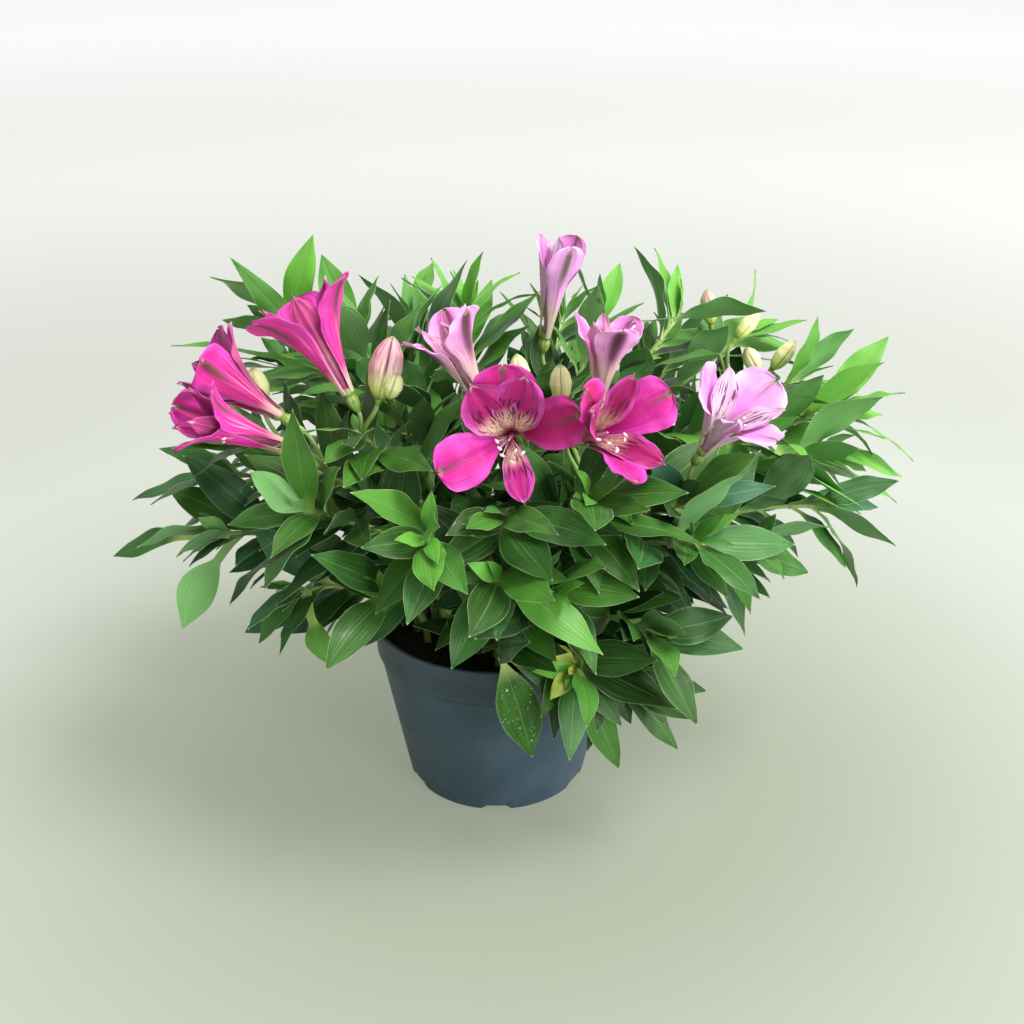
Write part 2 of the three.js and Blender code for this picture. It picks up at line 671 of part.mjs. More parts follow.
// The first option whose leaf is clear of all that stands, or null. Leaves of one shoot may
// touch near the stem, where they grow together.
function clearLeaf(owner, leaf) {
  for (const option of LEAF_OPTIONS) {
    const candidate = turnLeaf(leaf, option);
    const { root, rings, tip } = leafRings(candidate, LEAF_CLEARANCE);
    const whole = toSolid(skin([root, ...rings, tip]));
    const outer = toSolid(skin([...rings, tip]));
    const wholeBox = whole.boundingBox();
    const outerBox = outer.boundingBox();
    const blocked = obstacles.some((other) => {
      if (other.owner !== owner) {
        return boxesMeet(wholeBox, other.wholeBox) && solidsMeet(whole, other.whole);
      }
      return other.outer && boxesMeet(outerBox, other.outerBox) && solidsMeet(outer, other.outer);
    });
    if (!blocked) {
      addObstacle(owner, whole, outer);
      return candidate;
    }
    whole.delete();
    outer.delete();
  }
  return null;
}

// The leaf rule: leaves climb the stem by the golden angle, closer and shorter towards the
// tip, and reach outwards from the middle of the crown.
function ruleLeaves(stem, count, lowest) {
  const leaves = [];
  let azimuth = random() * 360;
  for (let i = 0; i < count; i += 1) {
    const rise = count > 1 ? i / (count - 1) : 1;
    const t = mix(lowest, LAST_LEAF_SHARE, rise ** LEAF_RULE.climb);
    azimuth += LEAF_RULE.round + spread(LEAF_RULE.roundSpread);
    const away = mix(...LEAF_RULE.away, rise) + spread(LEAF_RULE.awaySpread);
    const length = mix(...LEAF_RULE.length, rise) * (1 + spread(LEAF_RULE.lengthSpread));
    const width = length * (LEAF_RULE.slimness + spread(LEAF_RULE.slimnessSpread));
    const arch = LEAF_RULE.arch + spread(LEAF_RULE.archSpread);
    const roll = spread(LEAF_RULE.rollSpread) * DEGREE;
    const droop = LEAF_RULE.droop + spread(LEAF_RULE.droopSpread);
    const start = stem.curve.getPoint(t);
    const tangent = stem.curve.getTangent(t);
    const radial = blend(
      [stem.across, Math.cos(azimuth * DEGREE)],
      [cross(tangent, stem.across), Math.sin(azimuth * DEGREE)],
    );
    const outwards = unit(start.clone().sub(CROWN_CENTRE));
    const way = blend(
      [tangent, Math.cos(away * DEGREE)],
      [radial, Math.sin(away * DEGREE)],
      [outwards, LEAF_RULE.outwards],
      [UP, -droop],
    ).normalize();
    leaves.push(makeLeaf(stem, t, way, length, width, arch, roll, RULE_LEAF_STATIONS));
  }
  return leaves;
}

function placedLeaf(stem, t, tip, width) {
  const way = point(tip).sub(stem.curve.getPoint(t));
  const length = way.length();
  const arch = PLACED_LEAF.arch + spread(PLACED_LEAF.archSpread);
  const roll = spread(PLACED_LEAF.rollSpread) * DEGREE;
  return makeLeaf(stem, t, way.normalize(), length, width, arch, roll, PLACED_LEAF_STATIONS);
}

// A flower stalk from the top of the stem. It ends square to what it carries, in an ovary
// under a bloom or in a small seat under a bud.
function makeStalk(stem, base, axis, hasOvary) {
  const endLength = hasOvary ? OVARY_LENGTH : BUD_SEAT_LENGTH;
  const end = blend([base, 1], [axis, -FIT_GAP]);
  const seat = blend([end, 1], [axis, -endLength]);
  const start = stem.curve.getPoint(LAST_LEAF_SHARE - 0.01);
  const handle = STALK_HANDLE * seat.distanceTo(start);
  const straight = unit(seat.clone().sub(start));
  const leaving = blend([stem.curve.getTangent(1), 0.35], [straight, 0.65]).normalize();
  const curve = new THREE.CubicBezierCurve3(
    start,
    blend([start, 1], [leaving, handle]),
    blend([seat, 1], [axis, -handle]),
    seat,
  );
  const wanted = Math.abs(axis.x) < 0.8 ? new THREE.Vector3(1, 0, 0) : new THREE.Vector3(0, 1, 0);
  const ring = (centre, way, radius) => ringAround(centre, way, squareTo(way, wanted), radius, STEM_SIDES);
  const rings = STALK_STATIONS.map((t) => ring(curve.getPoint(t), curve.getTangent(t), STALK_RADIUS));
  if (hasOvary) {
    rings.push(ring(blend([seat, 1], [axis, 0.3 * OVARY_LENGTH]), axis, OVARY_RADIUS));
    rings.push(ring(blend([seat, 1], [axis, 0.7 * OVARY_LENGTH]), axis, OVARY_RADIUS * 1.05));
    rings.push(ring(end, axis, OVARY_RADIUS * 0.8));
  } else {
    rings.push(ring(end, axis, STALK_RADIUS * 1.5));
  }
  return toSolid(skin([[start], ...rings]));
}

// One tepal. It leaves the bloom's axis at the first opening angle and bends out evenly to
// the second. Its edges curl in round the axis as far as the bloom is closed.
function makeTepal(bloom, kind, place, openTip) {
  const { base, axis, top, right } = bloom.frame;
  const outwards = blend([top, Math.cos(place * DEGREE)], [right, Math.sin(place * DEGREE)]);
  const side = cross(outwards, axis);
  const length = bloom.length * kind.length;
  const from = bloom.open[0] * DEGREE;
  const to = openTip * DEGREE;
  const station = (s) => {
    const angle = mix(from, to, s);
    const along = (length * (Math.sin(angle) - Math.sin(from))) / (to - from);
    const out = kind.ring + (length * (Math.cos(from) - Math.cos(angle))) / (to - from);
    const centre = blend([base, 1], [axis, TEPAL_SEAT + along], [outwards, out]);
    const face = blend([axis, Math.sin(angle)], [outwards, -Math.cos(angle)]);
    return { centre, face, out, angle };
  };
  const ring = (s, share) => {
    const { centre, face, out, angle } = station(s);
    const half = 0.5 * kind.width * bloom.width * share;
    const curvature = Math.cos(angle) / out;
    const wrap = Math.min(half * curvature, TEPAL_MOST_WRAP);
    const across = Math.sin(wrap) / curvature;
    const curl = (1 - Math.cos(wrap)) / curvature;
    const thick = TEPAL_THICKNESS / 2;
    return [
      blend([centre, 1], [face, thick]),
      blend([centre, 1], [side, across], [face, curl]),
      blend([centre, 1], [face, -thick]),
      blend([centre, 1], [side, -across], [face, curl]),
    ];
  };
  const rings = kind.stations.map((s, i) => ring(s, kind.shares[i]));
  const root = blend([base, 1], [axis, 0.8], [outwards, 0.3 * kind.ring]);
  const tip = kind.tip > 0 ? ring(1, kind.tip) : [station(1).centre];
  return toSolid(skin([[root], ...rings, tip]));
}

function makeStamen(bloom, index) {
  const { base, axis, top, right } = bloom.frame;
  const angle = (STAMEN.first + index * STAMEN.apart) * DEGREE;
  const lean = blend([top, Math.cos(angle)], [right, Math.sin(angle)]);
  const reach = bloom.length * STAMEN.reach;
  const at = (s) => blend([base, 1], [axis, STAMEN.seat + reach * s], [lean, STAMEN.droop * s * s]);
  const way = blend([axis, reach], [lean, STAMEN.droop]).normalize();
  const side = squareTo(way, top);
  const ring = (s, radius) => ringAround(at(s), way, side, radius, 3);
  const thread = [ring(0.3, STAMEN.radius), ring(0.88, STAMEN.radius)];
  return toSolid(skin([[at(0)], ...thread, ring(0.94, STAMEN.antherRadius), [at(1.03)]]));
}

function makeBloom(bloom) {
  const base = point(bloom.base);
  const axis = point(bloom.look).sub(base).normalize();
  const top = squareTo(axis, point(bloom.top));
  const framed = { ...bloom, frame: { base, axis, top, right: cross(top, axis) } };
  const up = (along) => blend([base, 1], [axis, along]);
  const cup = CUP_RINGS.map(([along, radius]) => ringAround(up(along), axis, top, radius, CUP_SIDES));
  const pieces = [toSolid(skin([...cup, [up(CUP_TIP)]]))];
  for (const place of bloom.inner) {
    pieces.push(makeTepal(framed, INNER_TEPAL, place, bloom.open[2]));
  }
  for (const place of bloom.outer) {
    pieces.push(makeTepal(framed, OUTER_TEPAL, place, bloom.open[1]));
  }
  for (let i = 0; i < bloom.stamens; i += 1) {
    pieces.push(makeStamen(framed, i));
  }
  return { solid: fuse(pieces), base, axis };
}

// A bud: its closed tepals make a ribbed, pointed egg.
function makeBud(base, tip, radius) {
  const axis = unit(tip.clone().sub(base));
  const length = tip.distanceTo(base);
  const side = squareTo(axis, new THREE.Vector3(0, -1, 0));
  const rings = BUD_OUTLINE.map(([share, wide]) => (
    ringAround(blend([base, 1], [axis, length * share]), axis, side, radius * wide, BUD_SIDES)
  ));
  return toSolid(skin([...rings, [tip]]));
}

function makeMesh(name, solid, color, roughness) {
  const material = new THREE.MeshStandardMaterial({ color, roughness, metalness: 0, flatShading: true });
  const mesh = new THREE.Mesh(toGeometry(solid), material);
  mesh.name = name;
  return mesh;
}

// A shoot: one stem or more from one root, and where along a stem its leaves start.
function makeShoot(name, tips, leaves, lowest) {
  return { name, tips: tips.map(point), leaves, lowest };
}

// The shoots, in the order in which their roots and leaves are placed.
const shoots = [
  ...FLOWER_STEMS.map(([name, tip, leaves]) => makeShoot(name, [tip], leaves, LOWEST_LEAF.flower)),
  ...LEAFY_SHOOTS.map(([name, tip, leaves]) => (
    makeShoot(`shoot_${name}`, [tip], leaves, LOWEST_LEAF.leafy)
  )),
  ...BACK_CLUMPS.map(([name, tips, leaves]) => (
    makeShoot(`shoots_${name}`, tips, leaves, LOWEST_LEAF.clump)
  )),
];
const roots = placeRoots(shoots.map((shoot) => shoot.tips[0]));
shoots.forEach((shoot, i) => {
  shoot.stems = shoot.tips.map((tip) => makeStem(roots[i], tip));
  shoot.stems.forEach((stem) => { stem.across = shoot.stems[0].across; });
  shoot.pieces = shoot.stems.map((stem) => toSolid(skin(stemRings(stem))));
});

const pot = makePot();
const soil = makeSoil(shoots.map((shoot) => shoot.stems[0]));
addObstacle('pot', pot);
addObstacle('soil', soil);

const lily = new THREE.Group();
lily.add(makeMesh('pot', pot, COLORS.pot, 0.6));
lily.add(makeMesh('soil', soil, COLORS.soil, 0.95));

function stemNamed(name) {
  return shoots.find((shoot) => shoot.name === name || shoot.name === `shoot_${name}`);
}

for (const bloom of BLOOMS) {
  const { solid, base, axis } = makeBloom(bloom);
  const shoot = stemNamed(bloom.stem);
  shoot.pieces.push(makeStalk(shoot.stems[0], base, axis, true));
  addObstacle(bloom.name, solid);
  lily.add(makeMesh(bloom.name, solid, bloom.color, 0.55));
}

for (const [name, stemName, baseXYZ, tipXYZ, radius, color] of BUDS) {
  const base = point(baseXYZ);
  const tip = point(tipXYZ);
  const solid = makeBud(base, tip, radius);
  const shoot = stemNamed(stemName);
  shoot.pieces.push(makeStalk(shoot.stems[0], base, unit(tip.clone().sub(base)), false));
  addObstacle(name, solid);
  lily.add(makeMesh(name, solid, color, 0.6));
}

for (const shoot of shoots) {
  shoot.pieces.forEach((piece) => addObstacle(shoot.name, piece, piece));
}

for (const [name, t, tip, width] of PLACED_LEAVES) {
  const shoot = stemNamed(name);
  const leaf = clearLeaf(shoot.name, placedLeaf(shoot.stems[0], t, tip, width));
  if (leaf) {
    shoot.pieces.push(leafSolid(leaf));
  }
}

for (const shoot of shoots) {
  for (const stem of shoot.stems) {
    for (const leaf of ruleLeaves(stem, shoot.leaves, shoot.lowest)) {
      const clear = clearLeaf(shoot.name, leaf);
      if (clear) {
        shoot.pieces.push(leafSolid(clear));
      }
    }
  }
}

shoots.forEach((shoot, i) => {
  const fresh = FRESH_SHOOTS.some((name) => shoot.name === `shoot_${name}`);
  const color = fresh ? COLORS.freshLeafy : COLORS.leafy[i % COLORS.leafy.length];
  lily.add(makeMesh(shoot.name, fuse(shoot.pieces), color, 0.5));
});

export default lily;
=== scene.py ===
"""Potted peruvian lily in bloom: fine leaves, tepals, buds, pot and soil over the CAD model."""

import math
from collections import namedtuple

import bpy
import numpy as np
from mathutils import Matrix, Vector, kdtree, noise
from mathutils.bvhtree import BVHTree


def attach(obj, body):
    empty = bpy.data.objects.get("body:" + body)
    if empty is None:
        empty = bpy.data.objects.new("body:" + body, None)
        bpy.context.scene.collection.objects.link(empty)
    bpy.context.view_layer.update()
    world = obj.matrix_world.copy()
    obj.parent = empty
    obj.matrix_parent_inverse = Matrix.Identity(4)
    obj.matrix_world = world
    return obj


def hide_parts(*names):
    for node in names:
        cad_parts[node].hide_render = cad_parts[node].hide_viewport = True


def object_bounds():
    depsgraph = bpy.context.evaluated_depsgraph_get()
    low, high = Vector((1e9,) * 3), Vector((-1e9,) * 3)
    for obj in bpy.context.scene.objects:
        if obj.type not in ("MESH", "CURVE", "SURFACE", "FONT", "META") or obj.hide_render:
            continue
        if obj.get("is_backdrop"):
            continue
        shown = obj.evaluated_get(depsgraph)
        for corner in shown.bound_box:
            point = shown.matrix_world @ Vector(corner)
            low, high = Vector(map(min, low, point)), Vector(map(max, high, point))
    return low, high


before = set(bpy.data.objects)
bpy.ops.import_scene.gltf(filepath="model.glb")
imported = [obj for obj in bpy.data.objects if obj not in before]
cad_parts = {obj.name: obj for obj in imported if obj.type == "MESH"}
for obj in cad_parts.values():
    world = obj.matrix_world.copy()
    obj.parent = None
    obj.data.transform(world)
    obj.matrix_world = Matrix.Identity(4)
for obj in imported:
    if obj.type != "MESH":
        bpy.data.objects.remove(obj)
size_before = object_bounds()

# Lengths are in millimetres until a mesh is made, and the frame is in metres.
MM = 0.001
DEGREE = math.pi / 180
UP = np.array([0.0, 0.0, 1.0])

# Pot, soil and stems, as in the CAD model.
POT_HEIGHT = 95
POT_RIM_RADIUS = 65
POT_FOOT_RADIUS = 47.5
POT_WALL = 1.3
POT_BAND_HEIGHT = 20
POT_BAND_STEP = 1.4
POT_BAND_FLARE = 1.3
POT_FLOOR_RAISE = 3
POT_FLOOR_THICKNESS = 1.8
FOOT_RING_WIDTH = 4
FOOT_NOTCHES = 6
FOOT_NOTCH_WIDTH = 15
SOIL_TOP = 86
STEM_FOOT_Z = 75
STEM_RISE_Z = 89
STEM_HANDLE = 0.36
STEM_LEAN = 1.5
STEM_LEAN_FROM = 25
LAST_LEAF_SHARE = 0.975
ROOT_DISC_RADIUS = 52
ROOT_DISC_POWER = 0.7
ROOT_SPACING = 9
ROOT_PASSES = 80
CROWN_CENTRE = np.array([8.0, 0.0, 125.0])
FIT_GAP = 0.3
OVARY_LENGTH = 7
BUD_SEAT_LENGTH = 2.5
STALK_HANDLE = 0.35
STALK_BELOW_LAST_LEAF = 0.01
STALK_TURN = 0.65

# What the visual model adds to the stems: radii from foot to tip, swollen nodes, and the ribbed
# ovary or the small seat on top of each flower stalk, with its radii along it.
STEM_RADII = (1.95, 1.05)
STEM_SWELLING = 0.06
STEM_NODES = 40
STEM_TIP_SHARE = 0.99
STEM_TIP_TAPER = 0.5
STEM_ROWS = 34
STEM_SIDES = 10
STALK_RADII = (1.2, 1.0)
STALK_ROWS = 18
SEAT_OVERLAP = 1.0
SEAT_ROWS = 9
SEAT_SIDES = 24
SEAT_RIBS = 6
OVARY_SEAT = {"along": (0, 0.15, 0.4, 0.75, 1), "radii": (0.9, 1.7, 2.55, 2.7, 2.05), "rib": 0.07}
BUD_SEAT = {"along": (0, 0.5, 1), "radii": (0.95, 1.15, 1.6), "rib": 0.02}

# What it adds to the pot and the soil: a flange with a rolled lip, a boss under the floor, rounded
# notches, and lumps and crumbs of peat, with how many there are in a millimetre.
POT_SEGMENTS = 192
POT_NECK = 1.4
POT_FLANGE_HEIGHT = 10
POT_LIP_ROUND = (0.95, 1.05)
POT_BOSS_RADIUS = 9
NOTCH_CORNER = 2.6
SOIL_SEGMENTS = 180
SOIL_ROWS = 46
SOIL_LUMP = 1.0
SOIL_LUMPS = 0.09
SOIL_CRUMB = 0.7
SOIL_CRUMBS = 0.5
SOIL_EDGE_DROP = 2.0
SOIL_EDGE_WIDTH = 9

# The leaf rule of the CAD model: how much a blade faces along the stem, up and square to the stem,
# where the lowest leaf stands, and the rule. Angles are in degrees, and where a value has two
# numbers it goes from the first at the lowest leaf to the second at the last.
LEAF_FACES = {"tangent": 0.45, "up": 0.55, "stem": 0.4}
LOWEST_LEAF = {"flower": 0.5, "leafy": 0.55, "clump": 0.6}
LEAF_RULE = {
    "climb": 0.75, "round": 137.5, "round_spread": 14, "away": (78, 36), "away_spread": 9,
    "length": (60, 44), "length_spread": 0.14, "slimness": 0.34, "slimness_spread": 0.05,
    "arch": 0.13, "arch_spread": 0.07, "roll_spread": 22, "droop": 0.16, "droop_spread": 0.12,
    "outwards": 0.35,
}
PLACED_LEAF = {"arch": 0.12, "arch_spread": 0.04, "roll_spread": 10}

# How a leaf may have been turned or shortened to grow clear of its neighbours: degrees round
# the stem, degrees away from it, and a share of its length.
LEAF_OPTIONS = [
    (0, 0, 1), (18, 0, 1), (-18, 0, 1), (0, 14, 1), (0, -14, 1), (32, 10, 0.92),
    (-32, 10, 0.92), (32, -12, 0.9), (-32, -12, 0.9), (52, 0, 0.85), (-52, 0, 0.85),
    (0, 26, 0.8), (0, -26, 0.8), (75, 8, 0.8), (-75, 8, 0.8), (0, 0, 0.6),
]

# Leafy shoots: name, place of the tip, and how many leaves follow the leaf rule.
LEAFY_SHOOTS = [
    ("front_high", (5, -92, 191), 4),
    ("front_mid", (3, -100, 165), 4),
    ("front_mid_right", (26, -98, 158), 4),
    ("front_low", (3, -86, 116), 3),
    ("front_low_right", (38, -80, 107), 3),
    ("front_low_far_right", (56, -72, 98), 3),
    ("front_right_low", (70, -82, 126), 5),
    ("front_left", (-27, -98, 183), 5),
    ("front_left_low", (-46, -84, 148), 5),
    ("left_front", (-81, -78, 187), 6),
    ("right_front", (40, -95, 200), 5),
    ("right_mid", (88, -80, 173), 6),
    ("far_left_low", (-130, -32, 152), 5),
    ("left", (-130, -8, 174), 5),
    ("bottom_left", (-90, -60, 136), 5),
    ("left_up", (-115, -30, 200), 6),
    ("top_left", (-102, 17, 242), 3),
    ("top_left_inner", (-67, 5, 238), 7),
    ("top_mid_left", (-41, 10, 228), 6),
    ("top_mid", (-15, 27, 244), 6),
    ("top_mid_right", (53, 35, 238), 6),
    ("top_right", (91, 35, 240), 6),
    ("top_far_right", (127, 47, 226), 5),
    ("right_up", (154, 30, 208), 6),
    ("right_up_outer", (170, 12, 198), 5),
    ("right", (160, -6, 184), 6),
    ("right_low", (155, -28, 165), 5),
    ("right_low_inner", (116, -58, 157), 5),
]

# Clumps behind the crown: shoots that rise from one root.
BACK_CLUMPS = [
    ("back_left", ((-112, 70, 200), (-128, 62, 160), (-80, 105, 190)), 4),
    ("back_mid_left", ((-45, 80, 222), (-38, 130, 185), (-50, 112, 145)), 4),
    ("back_mid_right", ((35, 85, 222), (45, 135, 180), (12, 112, 160)), 4),
    ("back_right", ((105, 85, 205), (95, 115, 165), (140, 75, 165)), 4),
]

# Flower stems: name, place where the stalks part, and leaves that follow the leaf rule.
FLOWER_STEMS = [
    ("flower_stem_left", (-77, -42, 188), 6),
    ("flower_stem_mid_left", (-61, -52, 214), 6),
    ("flower_stem_centre_left", (-4, -40, 203), 6),
    ("flower_stem_centre", (15, -38, 196), 5),
    ("flower_stem_back", (27, 22, 212), 6),
    ("flower_stem_mid_right", (43, -58, 188), 6),
    ("flower_stem_right", (88, -56, 180), 6),
    ("flower_stem_buds", (122, 34, 197), 5),
]

# Leaves that show most: shoot, how far along it, tip and width.
PLACED_LEAVES = [
    ("front_high", 0.9, (14, -128, 174), 19),
    ("front_high", 0.97, (40, -121, 179), 17),
    ("front_mid", 0.9, (-18, -114, 129), 18),
    ("front_mid", 0.97, (46, -118, 138), 18),
    ("front_mid_right", 0.94, (60, -112, 152), 17),
    ("front_low", 0.96, (17, -84, 62), 20),
    ("front_low", 0.9, (29, -79, 74), 9),
    ("front_low_right", 0.96, (59, -79, 50), 16),
    ("front_low_right", 0.85, (73, -95, 121), 17),
    ("front_low_far_right", 0.96, (87, -70, 54), 16),
    ("front_low_far_right", 0.85, (100, -70, 88), 15),
    ("front_right_low", 0.96, (108, -74, 131), 17),
    ("front_left", 0.97, (-23, -130, 176), 15),
    ("front_left", 0.86, (-50, -101, 148), 17),
    ("left_front", 0.97, (-80, -92, 240), 15),
    ("left_front", 0.9, (-62, -100, 217), 16),
    ("right_front", 0.93, (80, -106, 208), 17),
    ("right_front", 0.8, (90, -98, 183), 15),
    ("right_mid", 0.96, (134, -72, 167), 16),
    ("flower_stem_right", 0.95, (132, -70, 198), 13),
    ("flower_stem_mid_left", 0.88, (-24, -96, 213), 14),
    ("far_left_low", 0.93, (-160, -52, 121), 21),
    ("far_left_low", 0.97, (-187, -25, 137), 13),
    ("far_left_low", 0.86, (-160, -10, 166), 17),
    ("left", 0.96, (-179, 0, 153), 12),
    ("bottom_left", 0.96, (-77, -64, 98), 14),
    ("bottom_left", 0.86, (-108, -68, 117), 15),
    ("left_up", 0.96, (-150, -20, 193), 12),
    ("top_left", 0.97, (-85, 20, 283), 15),
    ("top_left", 0.86, (-126, 8, 279), 12),
    ("top_left", 0.92, (-117, 32, 277), 11),
    ("top_left", 0.8, (-148, 12, 250), 6),
    ("top_left_inner", 0.97, (-53, 10, 265), 13),
    ("top_mid_left", 0.9, (-13, 14, 272), 20),
    ("top_mid", 0.93, (20, 26, 254), 10),
    ("top_mid", 0.97, (6, 38, 266), 9),
    ("top_right", 0.95, (77, 47, 271), 10),
    ("top_far_right", 0.97, (130, 57, 256), 12),
    ("right_up", 0.93, (163, 42, 240), 14),
    ("right_up_outer", 0.94, (194, 30, 230), 15),
    ("right_up_outer", 0.97, (200, 8, 214), 16),
    ("right", 0.97, (206, 0, 177), 17),
    ("right", 0.88, (213, 12, 158), 14),
    ("right", 0.8, (177, -36, 178), 15),
    ("right_low", 0.96, (177, -24, 118), 16),
    ("right_low", 0.9, (196, 0, 136), 14),
    ("right_low_inner", 0.95, (147, -49, 140), 15),
]

# Leaves of the CAD model that would hide the front of the pot or stand above the crown, by
# their number among the shoot's leaves.
LEFT_OUT = {
    "shoot_front_low": (2, 4), "shoot_front_low_right": (2,), "shoot_front_left": (2,),
    "shoot_top_mid": (7,), "shoot_top_mid_right": (4,),
}

# Leaves that only the visual model has: shoot, how far along it, tip, width, and look as below.
ADDED_LEAVES = [
    ("shoot_front_low_right", 0.94, (23.5, -79, 118), 9, (0.9, 0.0, 0.99, 0.6, 0.05)),
    ("shoot_front_low_right", 0.97, (17, -89, 111), 8, (1.0, 0.0, 0.8, 0.6, 0.05)),
    ("shoot_front_low_right", 0.96, (25, -96, 101), 9, (1.0, 0.0, 0.99, 0.6, 0.05)),
    ("shoot_front_low_right", 0.98, (32, -93, 104), 7, (1.0, 0.0, 0.75, 0.4, 0.05)),
    ("flower_stem_right", 0.93, (70, -62, 204.5), 16, (0.1, 0.95, 0.5, 0.8, 0.05)),
]

# Leaves that look unlike the rest of their shoot, by their number among its leaves without those
# left out. A look is how fresh, blue and aged the leaf is, each from 0 to 1, how far it is turned
# to face the camera, or to show it its underside where below 0, and the share of its length
# that is stalk.
LEAF_LOOKS = {
    ("shoot_front_low", 0): (0.1, 0.0, 0.95, 0.5, 0.05),
    ("shoot_far_left_low", 0): (0.65, 0.4, 0.9, -0.75, 0.3),
    ("shoot_far_left_low", 1): (0.3, 0.4, 0.7, 0.4, 0.35),
    ("shoot_far_left_low", 2): (0.35, 0.1, 0.6, 0.6, 0.05),
    ("shoot_bottom_left", 0): (0.6, 0.3, 0.6, 0.5, 0.35),
    ("shoot_left_front", 0): (0.4, 0.0, 0.8, 0.8, 0.05),
    ("shoot_left_front", 1): (0.45, 0.1, 0.8, 0.3, 0.05),
    ("shoot_top_mid_left", 0): (0.35, 0.5, 0.7, 0.35, 0.05),
    ("shoot_top_left", 0): (0.85, 0.1, 0.7, 0.85, 0.05),
    ("shoot_top_left", 1): (0.45, 0.4, 0.8, 0.8, 0.05),
    ("shoot_top_left", 2): (0.75, 0.1, 0.6, 0.7, 0.05),
    ("flower_stem_right", 0): (0.1, 0.9, 0.6, 0.6, 0.05),
}

# Looks of the tepals: colours as sRGB hex, and shares of the length. Outer tepals have a stripe on
# the keel near the tip, and inner ones have a pale band with dark dashes.
TEPAL_LOOKS = {
    "magenta": {
        "outer": {
            "body": "#c4168d", "edge": "#e04fbd", "deep": "#b80c58", "heart": "#f3d9c2", "line": "#9c0f5c",
            "stripe": "#62443a", "back": "#ec3fa6", "cream": "#fbe0cc", "tip": "#7f8a4e",
            "heart_end": 0.11, "stripe_from": 0.76, "stripe_edge": 0.24,
        },
        "inner": {
            "body": "#bf1a86", "edge": "#e066cb", "deep": "#96104f", "heart": "#8e1749", "band": "#f9e0b8",
            "dash": "#5a0a30", "line": "#8d1058", "back": "#d9659f", "tip": "#f3e4e8",
            "heart_end": 0.2, "dash_from": 0.34, "dash_to": 0.78,
        },
    },
    "pink": {
        "outer": {
            "body": "#f07ed6", "edge": "#fcc2f2", "deep": "#dd6cbc", "heart": "#f4e6bd", "line": "#e08fca",
            "stripe": "#3a170f", "back": "#ffb2ec", "cream": "#fff5e6", "tip": "#8b8f57",
            "heart_end": 0.3, "stripe_from": 0.6, "stripe_edge": 0.5,
        },
        "inner": {
            "body": "#e6a9d1", "edge": "#f0cbe2", "deep": "#d377b4", "heart": "#c77792", "band": "#f8f0d4",
            "dash": "#74214c", "line": "#cf83b2", "back": "#ecc4da", "tip": "#faf2f4",
            "heart_end": 0.2, "dash_from": 0.3, "dash_to": 0.9,
        },
    },
    "lilac": {
        "outer": {
            "body": "#ee94e3", "edge": "#fbbff3", "deep": "#d66bc6", "heart": "#dedda0", "line": "#e6a0dd",
            "stripe": "#525c2c", "back": "#ffbcf8", "cream": "#f7e9d8", "tip": "#8f9a50",
            "heart_end": 0.22, "stripe_from": 0.74, "stripe_edge": 0.28,
        },
        "inner": {
            "body": "#ead0e4", "edge": "#e2a7d6", "deep": "#d58fc8", "heart": "#b1556f", "band": "#f9f4e8",
            "dash": "#5b2150", "line": "#c98bbb", "back": "#e8c6e2", "tip": "#fbf6f6",
            "heart_end": 0.26, "dash_from": 0.28, "dash_to": 0.9,
        },
    },
}

